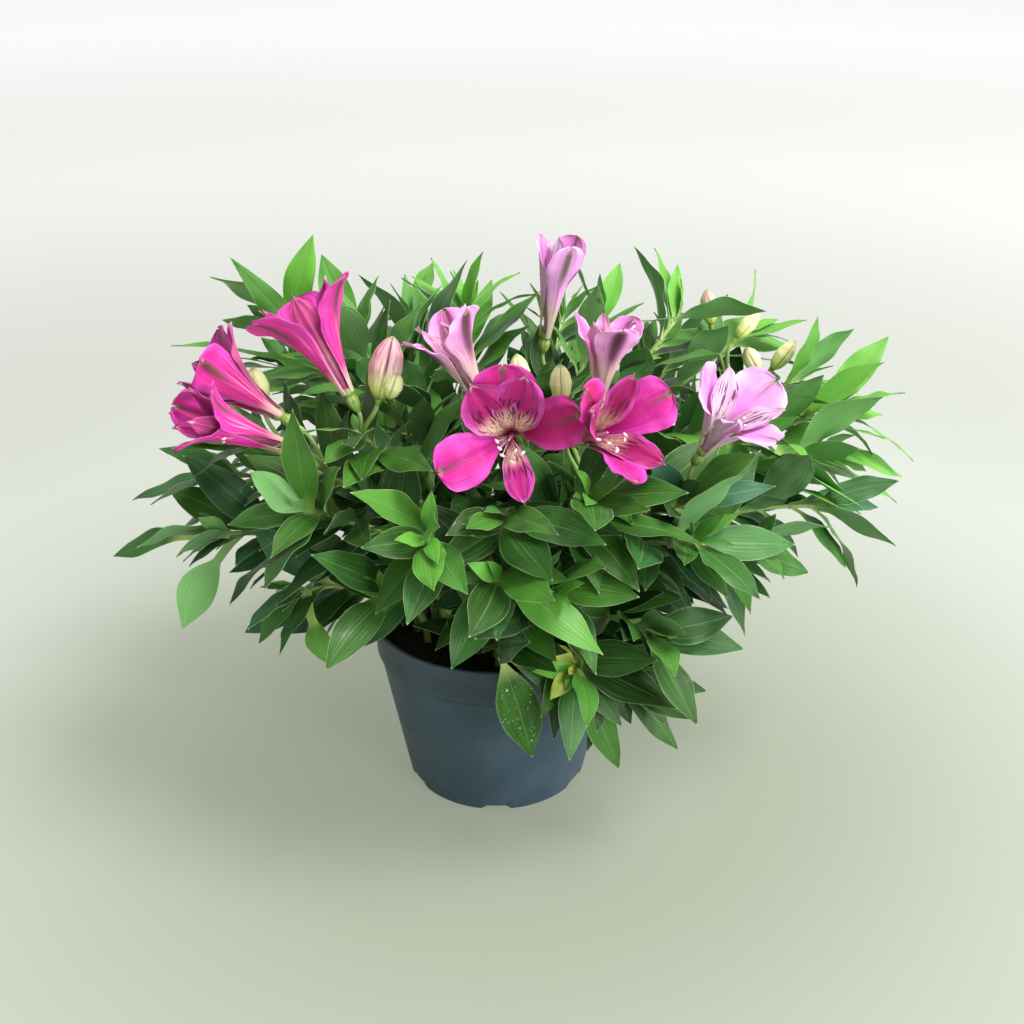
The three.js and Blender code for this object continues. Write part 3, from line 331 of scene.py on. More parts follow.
# Blooms: the stem they grow on, the base of the tepals, a point that the bloom looks at, the
# way its top tepal leans, length, opening angles at the base and at the tips of the outer
# and inner tepals, places of both kinds round the axis, and how many stamens show. Recurve
# is how far the tips of outer and inner tepals bend out past that, in degrees. Changes are for
# single tepals: degrees round, degrees of opening, a share of the width, and how deep the colour is.
BLOOMS = [
    {
        "name": "bloom_left_upper", "stem": "flower_stem_left", "colours": "magenta",
        "base": (-93, -50, 219), "look": (-133, -50, 247), "top": (0, 0, 1),
        "length": 48, "width": 0.86, "open": (8, 29, 21), "recurve": (34, 10),
        "outer": (62, 184, 302), "inner": (3, 122, 243), "stamens": 5,
        "changes": {
            "inner": ((-14, 24, 0.7, 0.0), (0, 0, 1.0, 0.3), (0, 0, 1.0, 0.3)),
        },
    },
    {
        "name": "bloom_left_lower", "stem": "flower_stem_left", "colours": "magenta",
        "base": (-89, -66, 212), "look": (-134, -88, 238), "top": (0, 0, 1),
        "length": 50, "width": 0.8, "open": (5, 19, 12), "recurve": (34, 10),
        "outer": (30, 150, 270), "inner": (90, 210, 330), "stamens": 2,
        "changes": {
            "outer": ((6, 4, 0.9, 0.5), (0, -6, 1.05, 0.2), (-8, 6, 0.9, 0.4)),
        },
    },
    {
        "name": "bloom_mid_left", "stem": "flower_stem_mid_left", "colours": "magenta",
        "base": (-63, -50, 229), "look": (-84, -42, 268), "top": (0, -1, 0),
        "length": 54, "width": 0.92, "open": (7, 40, 27), "recurve": (24, 8),
        "outer": (35, 165, 285), "inner": (100, 225, 345), "stamens": 3,
    },
    {
        "name": "bloom_centre_left", "stem": "flower_stem_centre_left", "colours": "pink",
        "base": (-6, -57, 229), "look": (-17, -55, 256), "top": (1, 0, 0.3),
        "length": 42, "width": 0.8, "open": (7, 24, 18), "recurve": (16, 10),
        "outer": (12, 146, 266), "inner": (90, 208, 330), "stamens": 0,
        "changes": {
            "outer": ((22, -8, 1.15, 0.0), (8, 14, 0.85, 0.6), (0, 0, 1.0, 0.2)),
            "inner": ((0, -4, 0.8, 0.2), (-8, 8, 1.0, 0.1), (0, 0, 1.0, 0.2)),
        },
    },
    {
        "name": "bloom_centre", "stem": "flower_stem_centre", "colours": "magenta",
        "base": (8, -67, 218), "look": (6, -97, 226), "top": (0, 0, 1),
        "length": 41, "width": 1, "open": (14, 84, 72), "recurve": (4, 0),
        "outer": (355, 68, 245), "inner": (322, 20, 163), "stamens": 6,
        "changes": {
            "outer": ((0, 0, 1.0, 0.55), (0, 0, 0.95, 1.0), (0, 0, 0.98, 0.0)),
            "inner": ((4, 6, 1.75, 0.6), (-6, 8, 1.75, 0.6), (0, -4, 1.0, 0.1)),
        },
    },
    {
        "name": "bloom_back", "stem": "flower_stem_back", "colours": "lilac",
        "base": (24, 20, 232), "look": (31, 15, 281), "top": (0, -1, 0),
        "length": 50, "width": 0.78, "open": (4, 13, 9), "recurve": (6, 0),
        "outer": (335, 100, 225), "inner": (54, 174, 296), "stamens": 0,
    },
    {
        "name": "bloom_mid_right_upper", "stem": "flower_stem_mid_right", "colours": "pink",
        "base": (46, -54, 228), "look": (49, -52, 256), "top": (0, -1, 0),
        "length": 38, "width": 0.75, "open": (7, 28, 20), "recurve": (16, 6),
        "outer": (345, 105, 225), "inner": (45, 165, 285), "stamens": 2,
    },
    {
        "name": "bloom_mid_right", "stem": "flower_stem_mid_right", "colours": "magenta",
        "base": (37, -74, 218), "look": (59, -104, 238), "top": (0, 0, 1),
        "length": 43, "width": 0.95, "open": (12, 56, 48), "recurve": (10, 6),
        "outer": (318, 68, 210), "inner": (285, 20, 135), "stamens": 6,
        "changes": {
            "outer": ((0, -8, 0.8, 0.9), (4, 2, 1.0, 0.3), (-14, -12, 0.7, 0.2)),
            "inner": ((14, -8, 1.3, 0.9), (4, -4, 1.2, 0.9), (14, 0, 1.2, 0.85)),
        },
    },
    {
        "name": "bloom_right", "stem": "flower_stem_right", "colours": "lilac",
        "base": (91, -60, 206), "look": (104, -76, 240), "top": (0, 0, 1),
        "length": 44, "width": 0.88, "open": (8, 52, 38), "recurve": (10, 6),
        "outer": (285, 60, 180), "inner": (350, 115, 230), "stamens": 6,
        "changes": {
            "outer": ((38, -16, 1.1, 0.5), (24, 4, 1.15, 0.2), (0, 0, 1.0, 0.4)),
            "inner": ((24, -12, 1.25, 0.2), (14, 6, 0.9, 0.2), (0, 0, 1.0, 0.2)),
        },
    },
]

# Buds: stem, base and tip of the bud, its greatest radius, and how pink it is.
BUDS = [
    ("bud_opening", "flower_stem_mid_left", (-50, -53, 229), (-43, -50, 256), 7.2, 1.0),
    ("bud_left", "flower_stem_left", (-105, -33, 218), (-108, -33, 236), 5.2, 0.05),
    ("bud_centre", "flower_stem_centre", (13, -38, 226), (10, -38, 244), 4.6, 0.1),
    ("bud_mid_right", "flower_stem_mid_right", (30, -44, 224), (29, -43, 241), 4.8, 0.0),
    ("bud_right_high", "flower_stem_buds", (107, 39, 233), (104, 41, 250), 4.2, 0.6),
    ("bud_right_mid", "flower_stem_buds", (120, 38, 226), (131, 41, 239), 3.8, 0.25),
    ("bud_right_near", "flower_stem_buds", (129, 24, 214), (122, 20, 227), 4.2, 0.3),
    ("bud_right_low", "flower_stem_buds", (138, 32, 212), (148, 31, 227), 4.2, 0.25),
]

# The small bud that grows beside the opening one, from that one's base.
SIDE_BUD_BASE = (4.5, -2, 1)
SIDE_BUD_TIP = (9, -4, 13)
SIDE_BUD_RADIUS = 4.2

# Shoots of fresh light green and of blue-green leaves, each with how far it is so.
FRESH_SHOOTS = {
    "shoot_top_left": 0.85, "shoot_right": 0.7, "shoot_right_up_outer": 0.75,
    "shoot_top_mid_right": 0.7, "shoot_top_far_right": 0.45, "shoot_right_up": 0.45,
    "shoot_top_right": 0.4, "shoot_top_mid": 0.65, "shoot_front_mid": 0.3, "flower_stem_mid_left": 0.3,
    "shoot_front_left": 0.3, "shoot_top_mid_left": 0.4, "shoot_top_left_inner": 0.3,
    "shoots_back_mid_left": 0.4, "shoots_back_mid_right": 0.4, "shoot_right_low": 0.2,
    "shoot_left_front": 0.22, "shoot_left_up": 0.25, "shoot_front_left_low": 0.16,
    "flower_stem_left": 0.25,
}
BLUE_SHOOTS = {
    "shoot_far_left_low": 0.5, "shoot_bottom_left": 0.5, "shoot_left": 0.35, "shoot_right_mid": 0.4,
    "shoot_right_low": 0.55, "shoot_right_low_inner": 0.35, "shoot_front_low": 0.25,
}

# The two kinds of tepal: length against the bloom's, greatest width, distance of the base
# from the axis, and the width along it as shares of the greatest.
OUTER_TEPAL = {
    "length": 1, "width": 25, "ring": 2.9, "notch": 1.3,
    "along": (0, 0.13, 0.27, 0.4, 0.55, 0.7, 0.8, 0.9, 0.96, 0.985, 1),
    "share": (0.13, 0.17, 0.3, 0.5, 0.78, 0.98, 1.0, 0.9, 0.66, 0.42, 0.1),
}
INNER_TEPAL = {
    "length": 0.95, "width": 13.5, "ring": 1.2, "notch": -1.2,
    "along": (0, 0.16, 0.35, 0.5, 0.66, 0.78, 0.88, 0.95, 1),
    "share": (0.2, 0.28, 0.55, 0.85, 1.0, 0.95, 0.7, 0.38, 0.04),
}

# How every tepal wraps round the axis, ruffles, pleats, and folds along its keel. Waves are how
# many there are along it, pleats and rim waves are radians from its middle to its edge, widths
# are shares of its half width, and its rows crowd towards its tip by a power.
TEPAL_MOST_WRAP = 1
TEPAL_FLATTENS = 0.7
TEPAL_LEAST_BEND = 1e-3
TEPAL_SEAT = 1.2
TEPAL_RECURVE_SPREAD = 5
TEPAL_THICKNESS = 0.5
TEPAL_EDGE_THICKNESS = 0.18
TEPAL_WIDTH_WAVE = 0.05
TEPAL_WIDTH_WAVES = 1.7
TEPAL_RUFFLE = 1.0
TEPAL_RUFFLE_WAVES = (1.3, 2.2)
TEPAL_FINE_RUFFLE = 0.45
TEPAL_FINE_WAVES = (4, 6)
TEPAL_PLEAT = 0.3
TEPAL_PLEATS = (7, 11)
TEPAL_KEEL = 0.55
TEPAL_KEEL_WIDTH = 0.16
TEPAL_NOTCH_WIDTH = 0.2
TEPAL_RIM = 0.25
TEPAL_RIM_WAVES = (14, 20)
TEPAL_ROWS = 30
TEPAL_COLUMNS = 21
TEPAL_ROWS_TO_TIP = 1.5
UNCHANGED_TEPAL = (0, 0, 1, 0.3)

# The green cup and the style in the middle of a bloom: heights on its axis, and radii there.
FLOWER_CUP = ((-0.25, 0.6, 2, 3.4), (2.05, 2.45, 2.7, 2.4))
FLOWER_STYLE = ((3, 5, 8, 20), (2.2, 1.3, 0.7, 0.4))
FLOWER_SIDES = 24

# Stamens: a fan of threads low in the throat, in degrees round the axis, their reach as a
# share of the bloom, and their anthers.
STAMEN_FIRST = 118
STAMEN_PITCH = 28
STAMEN_PITCH_SPREAD = 8
STAMEN_BASE = 2
STAMEN_REACH = 0.56
STAMEN_REACH_STEP = 0.05
STAMEN_REACH_SPREAD = 0.06
STAMEN_DROOP = 7
STAMEN_DROOP_SPREAD = 2.5
STAMEN_ROWS = 10
STAMEN_SIDES = 7
THREAD_RADII = (0.36, 0.24)
ANTHER_HALF_LENGTH = 1.25
ANTHER_RADIUS = 0.62
ANTHER_SEAT = 0.5
ANTHER_TILT = 0.6
ANTHER_ROWS = 8
ANTHER_SIDES = 9

# A bud: its outline along it, and its seams and ribs as shares of the radius.
BUD_OUTLINE = ((0, 0.06, 0.2, 0.5, 0.75, 0.9, 0.97, 1), (0.3, 0.5, 0.8, 1, 0.82, 0.5, 0.26, 0.1))
BUD_LAPS = 3
BUD_SEAM = 0.14
BUD_SEAM_WIDTH = 0.07
BUD_BULGE = 0.05
BUD_RIB = 0.025
BUD_RIBS = 18
BUD_ROWS = 22
BUD_SIDES = 48

# A leaf: a thin blade on a short flat stalk. Folds are shares of its half width, sag and sickle
# are shares of its length, and ruffles are for a leaf of common length. The blade's outline rises
# and falls by two powers, scaled to be 1 where it is widest. Its rows crowd towards the middle
# and its columns towards the margins.
LEAF_COMMON_LENGTH = 50
LEAF_STALK_WIDTH = 3.0
LEAF_STALK_SHARE = 0.05
LEAF_STALK_THICKNESS = 1.0
LEAF_BLADE_RISE = 1.1
LEAF_BLADE_FALL = 1.2
LEAF_BLADE_SCALE = 4.914
LEAF_THICKNESS = 0.32
LEAF_EDGE_THICKNESS = 0.1
LEAF_RISE = 0.6
LEAF_FOLD = -0.03
LEAF_FOLD_SPREAD = 0.1
LEAF_GROOVE = 0.3
LEAF_GROOVE_WIDTH = 0.12
LEAF_RUFFLE = 0.9
LEAF_RUFFLE_RANGE = (0.5, 1.2)
LEAF_RUFFLE_WAVES = (1.4, 3.0)
LEAF_RUFFLE_POWER = 2.2
LEAF_TWIST_SPREAD = 30
LEAF_TWIST_FROM = 0.25
LEAF_SAG = -0.015
LEAF_SAG_SPREAD = 0.05
LEAF_SICKLE_SPREAD = 0.03
LEAF_ROWS = 20
LEAF_ROWS_TO_MIDDLE = 0.06
LEAF_COLUMNS = 11
LEAF_COLUMNS_TO_EDGE = 0.9

# How near to a leaf's tip its solid has to have a corner.
TIP_MATCH = 0.05

# Leaves in the gaps along a shoot: how many are tried, by the first part that its name has, where
# on the shoot they stand, and the rule they follow, from the foot of the shoot to its tip.
FILLERS = {"back": 26, "top": 24, "right": 20, "flower": 16, "shoot": 15}
FILL_TRIES = 7
FILL_SPAN = (0.24, 0.98)
FILL_OUTLINE = 0.96
FILLER_ROWS = 12
FILLER_COLUMNS = 7
INNER_LEAF = {
    "away": (84, 44), "away_spread": 16, "length": (50, 36), "length_spread": 0.22,
    "slimness": 0.33, "slimness_spread": 0.06, "arch": 0.13, "arch_spread": 0.1, "roll_spread": 28,
    "droop": 0.12, "droop_spread": 0.2, "outwards": 0.3,
}

# Tufts: how many young leaves stand round a shoot's tip and the length of the longest, by the
# first part that its name has, where they stand, and the rule they follow.
TUFTS = {"flower": (4, 14), "top": (11, 34), "back": (11, 34), "front_low": (6, 18), "shoot": (7, 26)}
TUFT_SPAN = (0.965, 0.995)
TUFT_SHORTEST = 0.45
TUFT_LENGTH_SPREAD = 0.15
TUFT_OUTLINE = 1.05
GOLDEN_ANGLE = 2.4
TIP_LEAF = {
    "away": (18, 52), "upwards": 0.25, "slimness": 0.3, "slimness_spread": 0.06,
    "arch": 0.1, "arch_spread": 0.12, "roll_spread": 25,
}

# Young leaves over the front of the rim, of which a share has yellowed.
YELLOWING_SHOOTS = ("shoot_front_low", "shoot_front_low_right")
YELLOWING_SHARE = 0.6
YELLOWED = 0.99

# What a further leaf keeps clear of: a margin round each blade from past its stalk on, the
# outline that the tips within an angle give, the soil, the rim and the foot of the pot, and the
# camera's lines of sight to the flowers and to the front of the pot.
BLADE_ROWS = 7
BLADE_MARGIN = 0.3
BLADE_FROM = 0.14
TUFT_BLADE_FROM = 0.4
OUTLINE_ANGLE = 20
OUTLINE_ELSEWHERE = 70
SOIL_CLEARANCE = 5
RIM_CLEARANCE = 2
LOWEST_FILLER = 40
SIGHT_ANGLE = 0.55
SIGHT_DEPTH = 4
POT_FRONT_ANGLES = (-85, 6, 6)
POT_FRONT_HEIGHTS = (20, 96, 7.5)

# Edges that bend more than this stay sharp.
SHARP_ANGLE = 55 * DEGREE

# Camera: as the photograph was taken, from a little above.
CAMERA_TARGET = (8, 0, 148)
CAMERA_DISTANCE = 650
CAMERA_ELEVATION = 26
CAMERA_LENS = 45.77
CAMERA_SENSOR = 36

# The studio, in metres and watts: a paper sweep, soft boxes by place, width, power and colour,
# and the light that comes from all round.
FLOOR_REACH = 9.0
FLOOR_BACK = 5.0
FLOOR_TURN = 2.0
FLOOR_TOP = 7.0
LIGHTS_AIM = (0, 0, 0.15)
LIGHTS = {
    "key_softbox": ((1.45, -0.75, 3.0), 1.2, 124, "#fffdfa"),
    "fill_softbox": ((1.8, -2.0, 0.9), 1.4, 52, "#fbfbff"),
    "side_softbox": ((2.3, -0.3, 0.5), 1.0, 16, "#fbfbff"),
    "top_softbox": ((-0.1, 0.3, 1.7), 1.0, 9, "#ffffff"),
}
SKY_COLOUR = "#f4f6f2"
SKY_STRENGTH = 0.38


# Draws

# The CAD model's own draw, so that every leaf takes the same place as its solid.
DRAW_FACTOR = 1664525
DRAW_STEP = 1013904223
DRAW_RANGE = 2**32
draw_state = 20240611


def random():
    """The next number of the draw, from 0 to 1."""
    global draw_state
    draw_state = (draw_state * DRAW_FACTOR + DRAW_STEP) % DRAW_RANGE
    return draw_state / DRAW_RANGE


def spread(amount):
    return (random() * 2 - 1) * amount


# A second draw for what only the visual model has.
looks = np.random.default_rng(7)


def vary(amount):
    return looks.uniform(-amount, amount)


# Vectors and curves

def place(xyz):
    return np.array(xyz, dtype=float)


def unit(vector):
    return vector / np.linalg.norm(vector, axis=-1, keepdims=True)


def mix(a, b, share):
    return a + (b - a) * share


def smooth(value, low, high):
    """0 below low, 1 above high and smooth between them."""
    share = np.clip((value - low) / (high - low), 0, 1)
    return share * share * (3 - 2 * share)


def square_to(way, wanted):
    """A side direction square to the way on, as near as can be to the wanted one."""
    return unit(wanted - way * (wanted @ way))


def turned(vector, axis, angle):
    """A vector turned round an axis of length 1."""
    cosine, sine = math.cos(angle), math.sin(angle)
    return vector * cosine + np.cross(axis, vector) * sine + axis * (axis @ vector) * (1 - cosine)


def bezier(points, t):
    """The point of a Bezier curve at t, or its points at an array of them."""
    t = np.asarray(t, dtype=float)[..., None]
    layer = list(points)
    while len(layer) > 1:
        layer = [a + (b - a) * t for a, b in zip(layer, layer[1:])]
    return layer[0]


def heading(points, t, step=1e-4):
    """The way on along a Bezier curve."""
    t = np.asarray(t, dtype=float)
    return unit(bezier(points, np.minimum(t + step, 1)) - bezier(points, np.maximum(t - step, 0)))


# Meshes

PLAIN = (0, 0, 0)


class Shape:
    """Closed skins gathered into one mesh. Each vertex has a spot on its skin: across, along and
    which face, and a nature of three numbers that its material reads."""

    def __init__(self):
        self.points = []
        self.spots = []
        self.natures = []
        self.faces = []
        self.slots = []
        self.materials = []
        self.count = 0

    def add(self, rings, spots, nature, material):
        """Skins rings of points, an array of ring, point and xyz. The points of each ring run
        counter-clockwise about the way on."""
        rows, sides = rings.shape[:2]
        if material not in self.materials:
            self.materials.append(material)
        index = self.count + np.arange(rows * sides).reshape(rows, sides)
        beside = np.roll(index, -1, axis=1)
        quads = np.stack([index[:-1], beside[:-1], beside[1:], index[1:]], axis=-1).reshape(-1, 4)
        made = quads.tolist() + [index[0, ::-1].tolist(), index[-1].tolist()]
        self.faces.extend(made)
        self.slots.extend([self.materials.index(material)] * len(made))
        self.points.append(rings.reshape(-1, 3))
        self.spots.append(np.broadcast_to(spots, rings.shape).reshape(-1, 3))
        self.natures.append(np.broadcast_to(nature, rings.shape).reshape(-1, 3))
        self.count += rows * sides

    def build(self, name):
        """The gathered skins as a piece, with their spots and natures."""
        mesh = bpy.data.meshes.new(name)
        mesh.from_pydata((np.concatenate(self.points) * MM).tolist(), [], self.faces)
        for label, values in (("spot", self.spots), ("nature", self.natures)):
            attribute = mesh.attributes.new(label, "FLOAT_VECTOR", "POINT")
            attribute.data.foreach_set("vector", np.concatenate(values).astype(np.float32).ravel())
        for material in self.materials:
            mesh.materials.append(material)
        mesh.polygons.foreach_set("material_index", self.slots)
        mesh.shade_smooth()
        mesh.set_sharp_from_angle(angle=SHARP_ANGLE)
        mesh.update()
        made = bpy.data.objects.new(name, mesh)
        bpy.context.scene.collection.objects.link(made)
        return made


def stand_for(piece, node):
    """The piece takes the place of its CAD node."""
    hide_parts(node)
    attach(piece, "root")


def round_rings(centres, ways, side, radii, sides):
    """Round rings along a path. The side is carried along it, square to each way on."""
    angles = np.arange(sides) * 2 * math.pi / sides
    across = unit(side - ways * (ways @ side)[:, None])
    other = np.cross(ways, across)
    out = across[:, None] * np.cos(angles)[None, :, None] + other[:, None] * np.sin(angles)[None, :, None]
    return centres[:, None] + out * np.asarray(radii)[..., None].reshape(len(centres), -1, 1)


def round_spots(rows, sides, along=None):
    """Spots for round rings: the share round, and the share along."""
    along = np.linspace(0, 1, rows) if along is None else along
    spots = np.zeros((rows, sides, 3))
    spots[..., 0] = np.abs(np.linspace(-1, 1, sides, endpoint=False))
    spots[..., 1] = along[:, None]
    return spots


def sheet_rings(middle, side, up, half_width, rise, thickness):
    """Rings round a thin sheet: its upper points from left to right, and its lower ones back."""
    base = middle[:, None] + side[:, None] * half_width[..., None] + up[:, None] * rise[..., None]
    half = up[:, None] * (thickness[..., None] / 2)
    return np.concatenate([base + half, (base - half)[:, ::-1]], axis=1)


def sheet_spots(along, across):
    """Spots for a sheet's rings: across, along, and 1 on its upper face or 0 on its lower one."""
    rows, columns = len(along), len(across)
    spots = np.zeros((rows, 2 * columns, 3))
    spots[..., 0] = np.concatenate([across, across[::-1]])
    spots[..., 1] = along[:, None]
    spots[:, :columns, 2] = 1
    return spots


# Stems

Stem = namedtuple("Stem", "root tip curve across")
Leaf = namedtuple(
    "Leaf", "start tangent way length width arch side face stalk", defaults=(LEAF_STALK_SHARE,)
)


def place_roots(tips):
    """The steeper a shoot stands, the nearer the middle of the pot it springs. Roots are then
    moved apart until each has room for its own hole."""
    roots = []
    for tip in tips:
        reach = math.hypot(tip[0], tip[1])
        elevation = math.atan2(tip[2] - SOIL_TOP, reach) / DEGREE
        radius = ROOT_DISC_RADIUS * (1 - elevation / 90) ** ROOT_DISC_POWER
        roots.append(place((tip[0] / reach * radius, tip[1] / reach * radius, STEM_RISE_Z)))
    for _ in range(ROOT_PASSES):
        for i, root in enumerate(roots):
            for other in roots[:i]:
                apart = root - other
                distance = np.linalg.norm(apart)
                if distance < ROOT_SPACING:
                    push = 0.5 * (ROOT_SPACING - distance) / max(distance, 0.01)
                    root += apart * push
                    other -= apart * push
            outside = math.hypot(root[0], root[1]) / ROOT_DISC_RADIUS
            if outside > 1:
                root[:2] /= outside
    return roots


def make_stem(root, tip):
    """Straight out of the soil, then one smooth curve in an upright plane to its tip."""
    forward = unit((tip - root) * (1, 1, 0))
    reach = math.hypot(tip[0], tip[1])
    lean = STEM_LEAN * (math.atan2(tip[2] - SOIL_TOP, reach) - STEM_LEAN_FROM * DEGREE)
    ending = forward * math.cos(lean) + UP * math.sin(lean)
    handle = STEM_HANDLE * np.linalg.norm(tip - root)
    curve = (root, root + UP * handle, tip - ending * handle, tip)
    return Stem(root, tip, curve, unit(np.cross(forward, UP)))


def stalk_curve(stem, base, axis, has_ovary):
    """A flower stalk's curve, and where it ends under what it carries."""
    end = base - axis * FIT_GAP
    seat = end - axis * (OVARY_LENGTH if has_ovary else BUD_SEAT_LENGTH)
    start = bezier(stem.curve, LAST_LEAF_SHARE - STALK_BELOW_LAST_LEAF)
    handle = STALK_HANDLE * np.linalg.norm(seat - start)
    leaving = unit(heading(stem.curve, 1) * (1 - STALK_TURN) + unit(seat - start) * STALK_TURN)
    return (start, start + leaving * handle, seat - axis * handle, seat), end


def draw_stem(shape, stem, nature, material):
    """A stem from inside the soil to its tip, with a slight swelling at each node."""
    t = np.linspace(0, 1, STEM_ROWS)
    centres = np.concatenate([[stem.root * (1, 1, 0) + UP * STEM_FOOT_Z], bezier(stem.curve, t)])
    ways = np.concatenate([[UP], heading(stem.curve, t)])
    along = np.concatenate([[0], t])
    swelling = 1 + STEM_SWELLING * np.sin(along * STEM_NODES + vary(3))
    radii = mix(*STEM_RADII, along) * swelling * np.where(along > STEM_TIP_SHARE, STEM_TIP_TAPER, 1)
    rings = round_rings(centres, ways, stem.across, radii, STEM_SIDES)
    shape.add(rings, round_spots(len(rings), STEM_SIDES, along), nature, material)


def draw_stalk(shape, stem, base, axis, has_ovary, materials):
    """A flower stalk, with the ribbed ovary under a bloom or a small seat under a bud."""
    curve, end = stalk_curve(stem, base, axis, has_ovary)
    t = np.linspace(0, 1, STALK_ROWS)
    across = np.array([1.0, 0, 0]) if abs(axis[0]) < 0.8 else np.array([0, 1.0, 0])
    rings = round_rings(bezier(curve, t), heading(curve, t), across, mix(*STALK_RADII, t), STEM_SIDES)
    shape.add(rings, round_spots(len(rings), STEM_SIDES, t), PLAIN, materials["stem"])
    form = OVARY_SEAT if has_ovary else BUD_SEAT
    along = np.linspace(0, 1, SEAT_ROWS)
    seat = curve[-1] - axis * SEAT_OVERLAP
    centres = seat + axis * (along * np.linalg.norm(end - seat))[:, None]
    ribs = 1 + form["rib"] * np.cos(SEAT_RIBS * np.arange(SEAT_SIDES) * 2 * math.pi / SEAT_SIDES)
    radii = np.interp(along, form["along"], form["radii"])[:, None] * ribs[None]
    rings = round_rings(centres, np.tile(axis, (SEAT_ROWS, 1)), across, radii, SEAT_SIDES)
    shape.add(rings, round_spots(SEAT_ROWS, SEAT_SIDES, along), PLAIN, materials["ovary"])


# Leaves

def radial_way(stem, tangent, azimuth):
    """The way out of a stem at an angle round it."""
    return stem.across * math.cos(azimuth) + np.cross(tangent, stem.across) * math.sin(azimuth)


def make_leaf(stem, t, way, length, width, arch, roll):
    """A leaf at t on its stem, whose blade faces up and out of the stem, then rolls."""
    start = bezier(stem.curve, t)
    tangent = heading(stem.curve, t)
    looks_to = unit(tangent * LEAF_FACES["tangent"] + UP * LEAF_FACES["up"])
    level = unit(np.cross(way, looks_to)) + unit(np.cross(way, tangent)) * LEAF_FACES["stem"]
    side = turned(square_to(way, level), way, roll)
    return Leaf(start, tangent, way, length, width, arch, side, np.cross(side, way))


def turn_leaf(leaf, option):
    """The same leaf turned by one of the options."""
    round_stem, away, share = option
    hinge = unit(np.cross(leaf.tangent, leaf.way))

    def turn(vector):
        return turned(turned(vector, hinge, away * DEGREE), leaf.tangent, round_stem * DEGREE)

    return leaf._replace(
        way=turn(leaf.way), side=turn(leaf.side), face=turn(leaf.face),
        length=leaf.length * share, width=leaf.width * mix(1, share, 0.6),
    )


def face_to(leaf, point, share):
    """The leaf turned about its own length, a share of the way to face a point, or to show it
    its underside if the share is below 0."""
    wanted = square_to(leaf.way, point - leaf.start) * math.copysign(1, share)
    angle = abs(share) * math.atan2(leaf.way @ np.cross(leaf.face, wanted), leaf.face @ wanted)
    side = turned(leaf.side, leaf.way, angle)
    return leaf._replace(side=side, face=np.cross(side, leaf.way))


def leaf_curve(leaf):
    """The leaf's line from stem to tip, which its arch bends towards the face."""
    tip = leaf.start + leaf.way * leaf.length
    bend = (leaf.start + tip) / 2 + leaf.face * (leaf.arch * leaf.length)
    return leaf.start, bend, tip


def grown_leaf(leaf, corners):
    """The leaf as its solid grew: turned by the option that puts its tip on a corner of the
    CAD shoot. Returns None for a leaf that found no room."""
    for option in LEAF_OPTIONS:
        candidate = turn_leaf(leaf, option)
        tip = candidate.start + candidate.way * candidate.length
        if corners.find(tip * MM)[2] < TIP_MATCH * MM:
            return candidate
    return None


def rule_leaves(stem, count, lowest):
    """The leaf rule: leaves climb the stem by the golden angle, closer and shorter towards
    the tip, and reach outwards from the middle of the crown."""
    rule = LEAF_RULE
    azimuth = random() * 360
    for i in range(count):
        rise = i / (count - 1) if count > 1 else 1
        t = mix(lowest, LAST_LEAF_SHARE, rise ** rule["climb"])
        azimuth += rule["round"] + spread(rule["round_spread"])
        away = mix(*rule["away"], rise) + spread(rule["away_spread"])
        length = mix(*rule["length"], rise) * (1 + spread(rule["length_spread"]))
        width = length * (rule["slimness"] + spread(rule["slimness_spread"]))
        arch = rule["arch"] + spread(rule["arch_spread"])
        roll = spread(rule["roll_spread"]) * DEGREE
        droop = rule["droop"] + spread(rule["droop_spread"])
        start = bezier(stem.curve, t)
        tangent = heading(stem.curve, t)
        radial = radial_way(stem, tangent, azimuth * DEGREE)
        way = unit(
            tangent * math.cos(away * DEGREE) + radial * math.sin(away * DEGREE)
            + unit(start - CROWN_CENTRE) * rule["outwards"] - UP * droop
        )
        yield t, make_leaf(stem, t, way, length, width, arch, roll)


def placed_leaf(stem, t, tip, width):
    """A leaf that reaches from t on its stem to its own tip."""
    way = place(tip) - bezier(stem.curve, t)
    length = np.linalg.norm(way)
    arch = PLACED_LEAF["arch"] + spread(PLACED_LEAF["arch_spread"])
    roll = spread(PLACED_LEAF["roll_spread"]) * DEGREE
    return make_leaf(stem, t, way / length, length, width, arch, roll)


def leaf_half_width(leaf, s):
    """Half the width at shares of the length: the blade's, or the stalk's where that is wider. A
    longer stalk is a little wider too, and it thins out in the last fifth under the tip."""
    along = np.clip((s - leaf.stalk) / (1 - leaf.stalk), 0, 1)
    blade = LEAF_BLADE_SCALE * along**LEAF_BLADE_RISE * (1 - along) ** LEAF_BLADE_FALL * leaf.width / 2
    stalk = LEAF_STALK_WIDTH / 2 * (1 + 2 * (leaf.stalk - LEAF_STALK_SHARE)) * np.minimum(1, 5 * (1 - s))
    return (blade**4 + stalk**4) ** 0.25 * np.where(s > 0.999, 0.25, 1)


